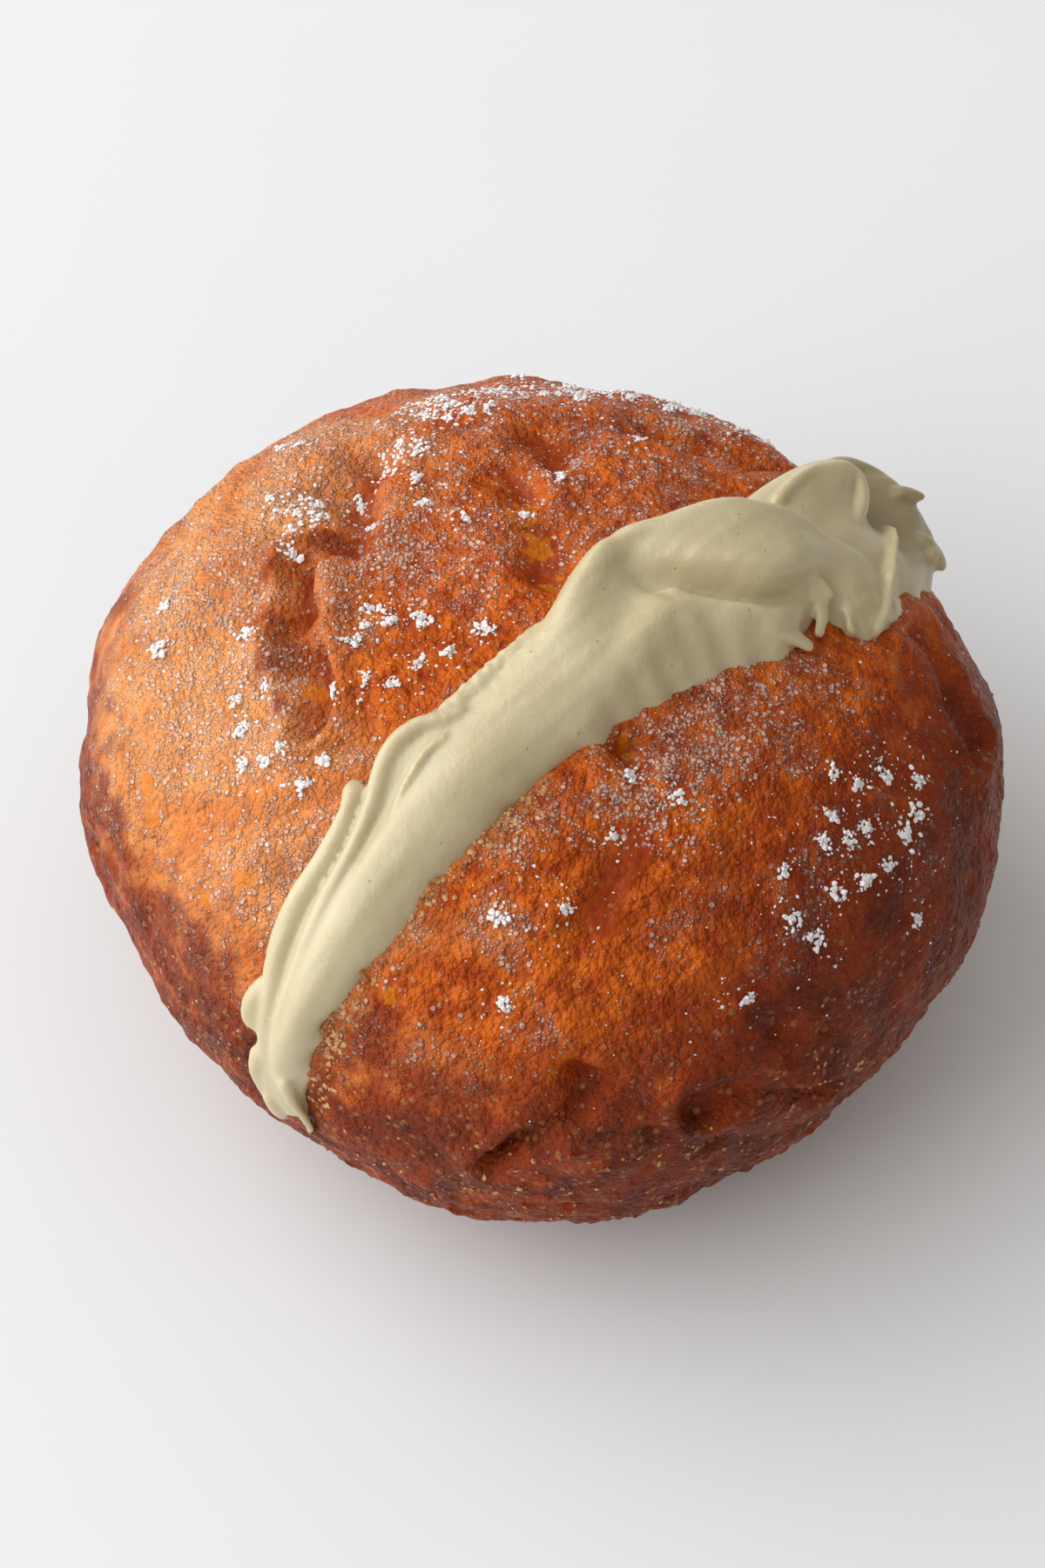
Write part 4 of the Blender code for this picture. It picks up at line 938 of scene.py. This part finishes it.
def crust_surface():
    """Browned fried dough, translucent and golden where bare, under fine grains of melted sugar."""
    made = Surface("browned crust")
    mottle = made.noise(2.2, 4.0, 0.60)
    streak = made.noise(4.5, 3.0, 0.55)
    colour = made.mix(made.between(mottle, 0.30, 0.68), *CRUST_WARM)
    # Painted light: paler crust on the side towards the window.
    colour = made.mix(made.attribute("pale"), colour, made.mix(mottle, *CRUST_PAINTED_LIGHT))
    # Burnt places, the bottom and the side away from the window darken it to brown and near black: browning
    # with painted shade.
    burnt_and_shade = made.sum("ADD", made.attribute("burnt_and_shade"), made.between(streak, 0.3, 0.7, -0.2, 0.25))
    colour = made.mix(made.between(burnt_and_shade, 0.1, 0.80, 0.0, 0.85), colour, CRUST_BROWN)
    colour = made.mix(made.between(burnt_and_shade, 0.65, 1.5, 0.0, 0.9), colour, CRUST_BURNT_AND_SHADE)
    hollow = made.between(made.attribute("hollow"), 0.35, 0.95)
    glow = made.sum("MULTIPLY", hollow, made.between(burnt_and_shade, 0.2, 0.9, 0.90, 0.10))
    colour = made.mix(glow, colour, CRUST_HOLLOW)
    golden = made.sum("ADD", made.attribute("golden"), made.between(streak, 0.64, 0.8, 0.0, 0.3))
    golden = made.between(golden, 0.15, 0.9)
    colour = made.mix(made.sum("MULTIPLY", golden, 0.75), colour, CRUST_GOLD)
    clumps = made.between(made.noise(1.5, 4.0, 0.62), 0.36, 0.62, 0.10, 1.35)
    density = made.sum("MULTIPLY", made.attribute("bloom"), clumps)
    fine = made.granules(0.36, density)
    coarse = made.granules(0.66, made.sum("MULTIPLY", density, 0.65))
    frost = made.sum("MAXIMUM", made.sum("MULTIPLY", fine, 0.75), coarse)
    frost = made.sum("MAXIMUM", made.sum("MULTIPLY", frost, 0.62), made.sum("MULTIPLY", density, 0.07))
    # Darker frost where the crust is burnt and where painted shade falls.
    tint = made.mix(made.between(burnt_and_shade, 0.1, 0.9), *FROST)
    colour = made.mix(frost, colour, tint)
    flecks = made.granules(0.8, made.sum("MULTIPLY", made.attribute("coarse"), 0.16))
    flecks = made.sum("MULTIPLY", flecks, 0.5)
    colour = made.mix(flecks, colour, FLECK)
    colour = made.mix(made.attribute("crumb"), colour, made.mix(mottle, *LIP_CRUMB_COLOURS))
    made.link(colour, "Base Color")
    gloss = made.sum("MAXIMUM", golden, hollow)
    rough = made.sum("ADD", made.between(gloss, 0.2, 0.9, 0.40, 0.26), made.sum("MULTIPLY", frost, 0.15))
    made.link(rough, "Roughness")
    beads = made.sum("MULTIPLY", made.cells(0.8), 0.8)
    beads = made.sum("ADD", beads, made.sum("MULTIPLY", made.cells(0.36), 0.35))
    height = made.sum("SUBTRACT", made.sum("MULTIPLY", frost, 1.2), beads)
    height = made.sum("ADD", height, made.sum("MULTIPLY", mottle, 0.8))
    height = made.sum("MULTIPLY", height, made.between(gloss, 0.2, 0.9, 1.0, 0.35))
    made.bump(height, 0.55)
    made.fixed(Subsurface_Weight=0.10, Subsurface_Radius=(1.0, 0.25, 0.05), Subsurface_Scale=1.4 * MM,
               Specular_IOR_Level=0.13)
    return made.material


def cream_surface():
    """Soft pistachio cream with fine bubbles and specks."""
    made = Surface("pistachio cream")
    colour = made.mix(made.between(made.noise(9.0, 2.0), 0.3, 0.7), *CREAM)
    speck = made.between(made.cells(2.3), 0.075, 0.04)
    colour = made.mix(made.sum("MULTIPLY", speck, 0.4), colour, CREAM_SPECK)
    # Painted shade darkens the back lobe's bowl.
    colour = made.mix(made.sum("MULTIPLY", made.attribute("lobe_shade"), 0.8), colour, CREAM_LOBE_SHADE)
    made.link(colour, "Base Color")
    height = made.sum("ADD", made.noise(1.6, 2.0), made.sum("MULTIPLY", made.noise(0.4, 2.0), 0.25))
    height = made.sum("SUBTRACT", height, made.sum("MULTIPLY", speck, 0.6))
    made.bump(height, 0.10)
    made.fixed(Roughness=0.38, Subsurface_Weight=0.4, Subsurface_Radius=(1.0, 0.75, 0.35),
               Subsurface_Scale=1.8 * MM, Specular_IOR_Level=0.70)
    return made.material


def sugar_surface():
    """White powdered sugar."""
    made = Surface("powdered sugar")
    made.link(made.mix(made.noise(0.5, 2.0), *WHITE_SUGAR), "Base Color")
    made.fixed(Roughness=0.85, Subsurface_Weight=0.5, Subsurface_Radius=(1, 1, 1), Subsurface_Scale=0.4 * MM)
    return made.material


def crystal_surface():
    """Half-melted sugar, tinted by the crust beneath."""
    made = Surface("melted sugar")
    made.link(made.mix(made.noise(1.8, 2.0), *MELTED_SUGAR), "Base Color")
    made.fixed(Roughness=0.35, Subsurface_Weight=0.4, Subsurface_Radius=(1.0, 0.6, 0.4),
               Subsurface_Scale=0.5 * MM)
    return made.material


def crumb_surface():
    """Toasted crumbs, tan to red-brown."""
    made = Surface("crumbs")
    colour = made.mix(made.between(made.noise(1.5, 2.0), 0.35, 0.65), *CRUMBS)
    made.link(colour, "Base Color")
    made.fixed(Roughness=0.6)
    return made.material


def floor_surface():
    """Plain pale floor."""
    made = Surface("pale floor")
    made.link(made.mix(made.noise(60.0, 2.0), *FLOOR), "Base Color")
    made.fixed(Roughness=0.5, Specular_IOR_Level=0.2)
    return made.material


def make_floor():
    """Round plain floor."""
    shape = bmesh.new()
    bmesh.ops.create_circle(shape, cap_ends=True, segments=96, radius=FLOOR_RADIUS)
    made = add_object("floor", shape, floor_surface())


def make_window():
    """Broad soft light from the left, turned to the doughnut."""
    lamp = bpy.data.lights.new("window", "AREA")
    lamp.energy = WINDOW_POWER
    lamp.color = WINDOW_COLOUR
    lamp.shape = "RECTANGLE"
    lamp.size, lamp.size_y = WINDOW_SIZE
    made = bpy.data.objects.new("window", lamp)
    made.location = WINDOW_PLACE
    aim = Vector(WINDOW_TARGET) - Vector(WINDOW_PLACE)
    made.rotation_euler = aim.to_track_quat("-Z", "Y").to_euler()
    bpy.context.scene.collection.objects.link(made)


def make_sky():
    """Weak light all round, warm on the dark side."""
    world = bpy.data.worlds.new("studio")
    world.use_nodes = True
    nodes, links = world.node_tree.nodes, world.node_tree.links
    sky = nodes["Background"]
    towards = nodes.new("ShaderNodeVectorMath")
    towards.operation = "DOT_PRODUCT"
    towards.inputs[1].default_value = SKY_BRIGHTEST
    links.new(nodes.new("ShaderNodeTexCoord").outputs["Generated"], towards.inputs[0])
    strength = nodes.new("ShaderNodeMapRange")
    ranges = (*SKY_SPAN, *SKY_STRENGTH)
    for name, value in zip(("From Min", "From Max", "To Min", "To Max"), ranges):
        strength.inputs[name].default_value = value
    links.new(towards.outputs["Value"], strength.inputs["Value"])
    links.new(strength.outputs["Result"], sky.inputs["Strength"])
    warmth = nodes.new("ShaderNodeMix")
    warmth.data_type = "RGBA"
    for socket, tone in zip((6, 7), SKY_COLOURS):
        warmth.inputs[socket].default_value = (*tone, 1)
    links.new(towards.outputs["Value"], warmth.inputs[0])
    links.new(warmth.outputs[2], sky.inputs["Color"])
    bpy.context.scene.world = world
    bpy.context.scene.view_settings.view_transform = "Standard"
    bpy.context.scene.view_settings.look = "None"


def make_camera():
    """The photograph's view, from the front and well above."""
    rise = math.radians(VIEW_RISE)
    forward = Vector((0, math.cos(rise), -math.sin(rise)))
    eye = bpy.data.cameras.new("photo view")
    eye.lens = LENS
    eye.sensor_width = SENSOR
    eye.clip_start = 0.01
    made = bpy.data.objects.new("photo view", eye)
    made.location = scaled(VIEW_TARGET) - forward * VIEW_DISTANCE * MM
    made.rotation_euler = forward.to_track_quat("-Z", "Y").to_euler()
    bpy.context.scene.collection.objects.link(made)
    bpy.context.scene.camera = made


def main():
    shape = bmesh.new()
    loft(shape, cut_rings())
    blade = add_object("blade_form", shape)
    crust = make_crust(blade, crust_surface())
    bpy.data.objects.remove(blade)
    ride_on_part(crust, "crust", "doughnut")
    cream = make_cream(cream_surface())
    ride_on_part(cream, "cream", "cream")
    tree = BVHTree.FromPolygons([vert.co for vert in crust.data.vertices],
                                [face.vertices for face in crust.data.polygons])
    make_sugar(tree, sugar_surface())
    make_crystals(tree, crystal_surface())
    make_crumbs(tree, crumb_surface())
    make_floor()
    make_window()
    make_sky()
    make_camera()


main()
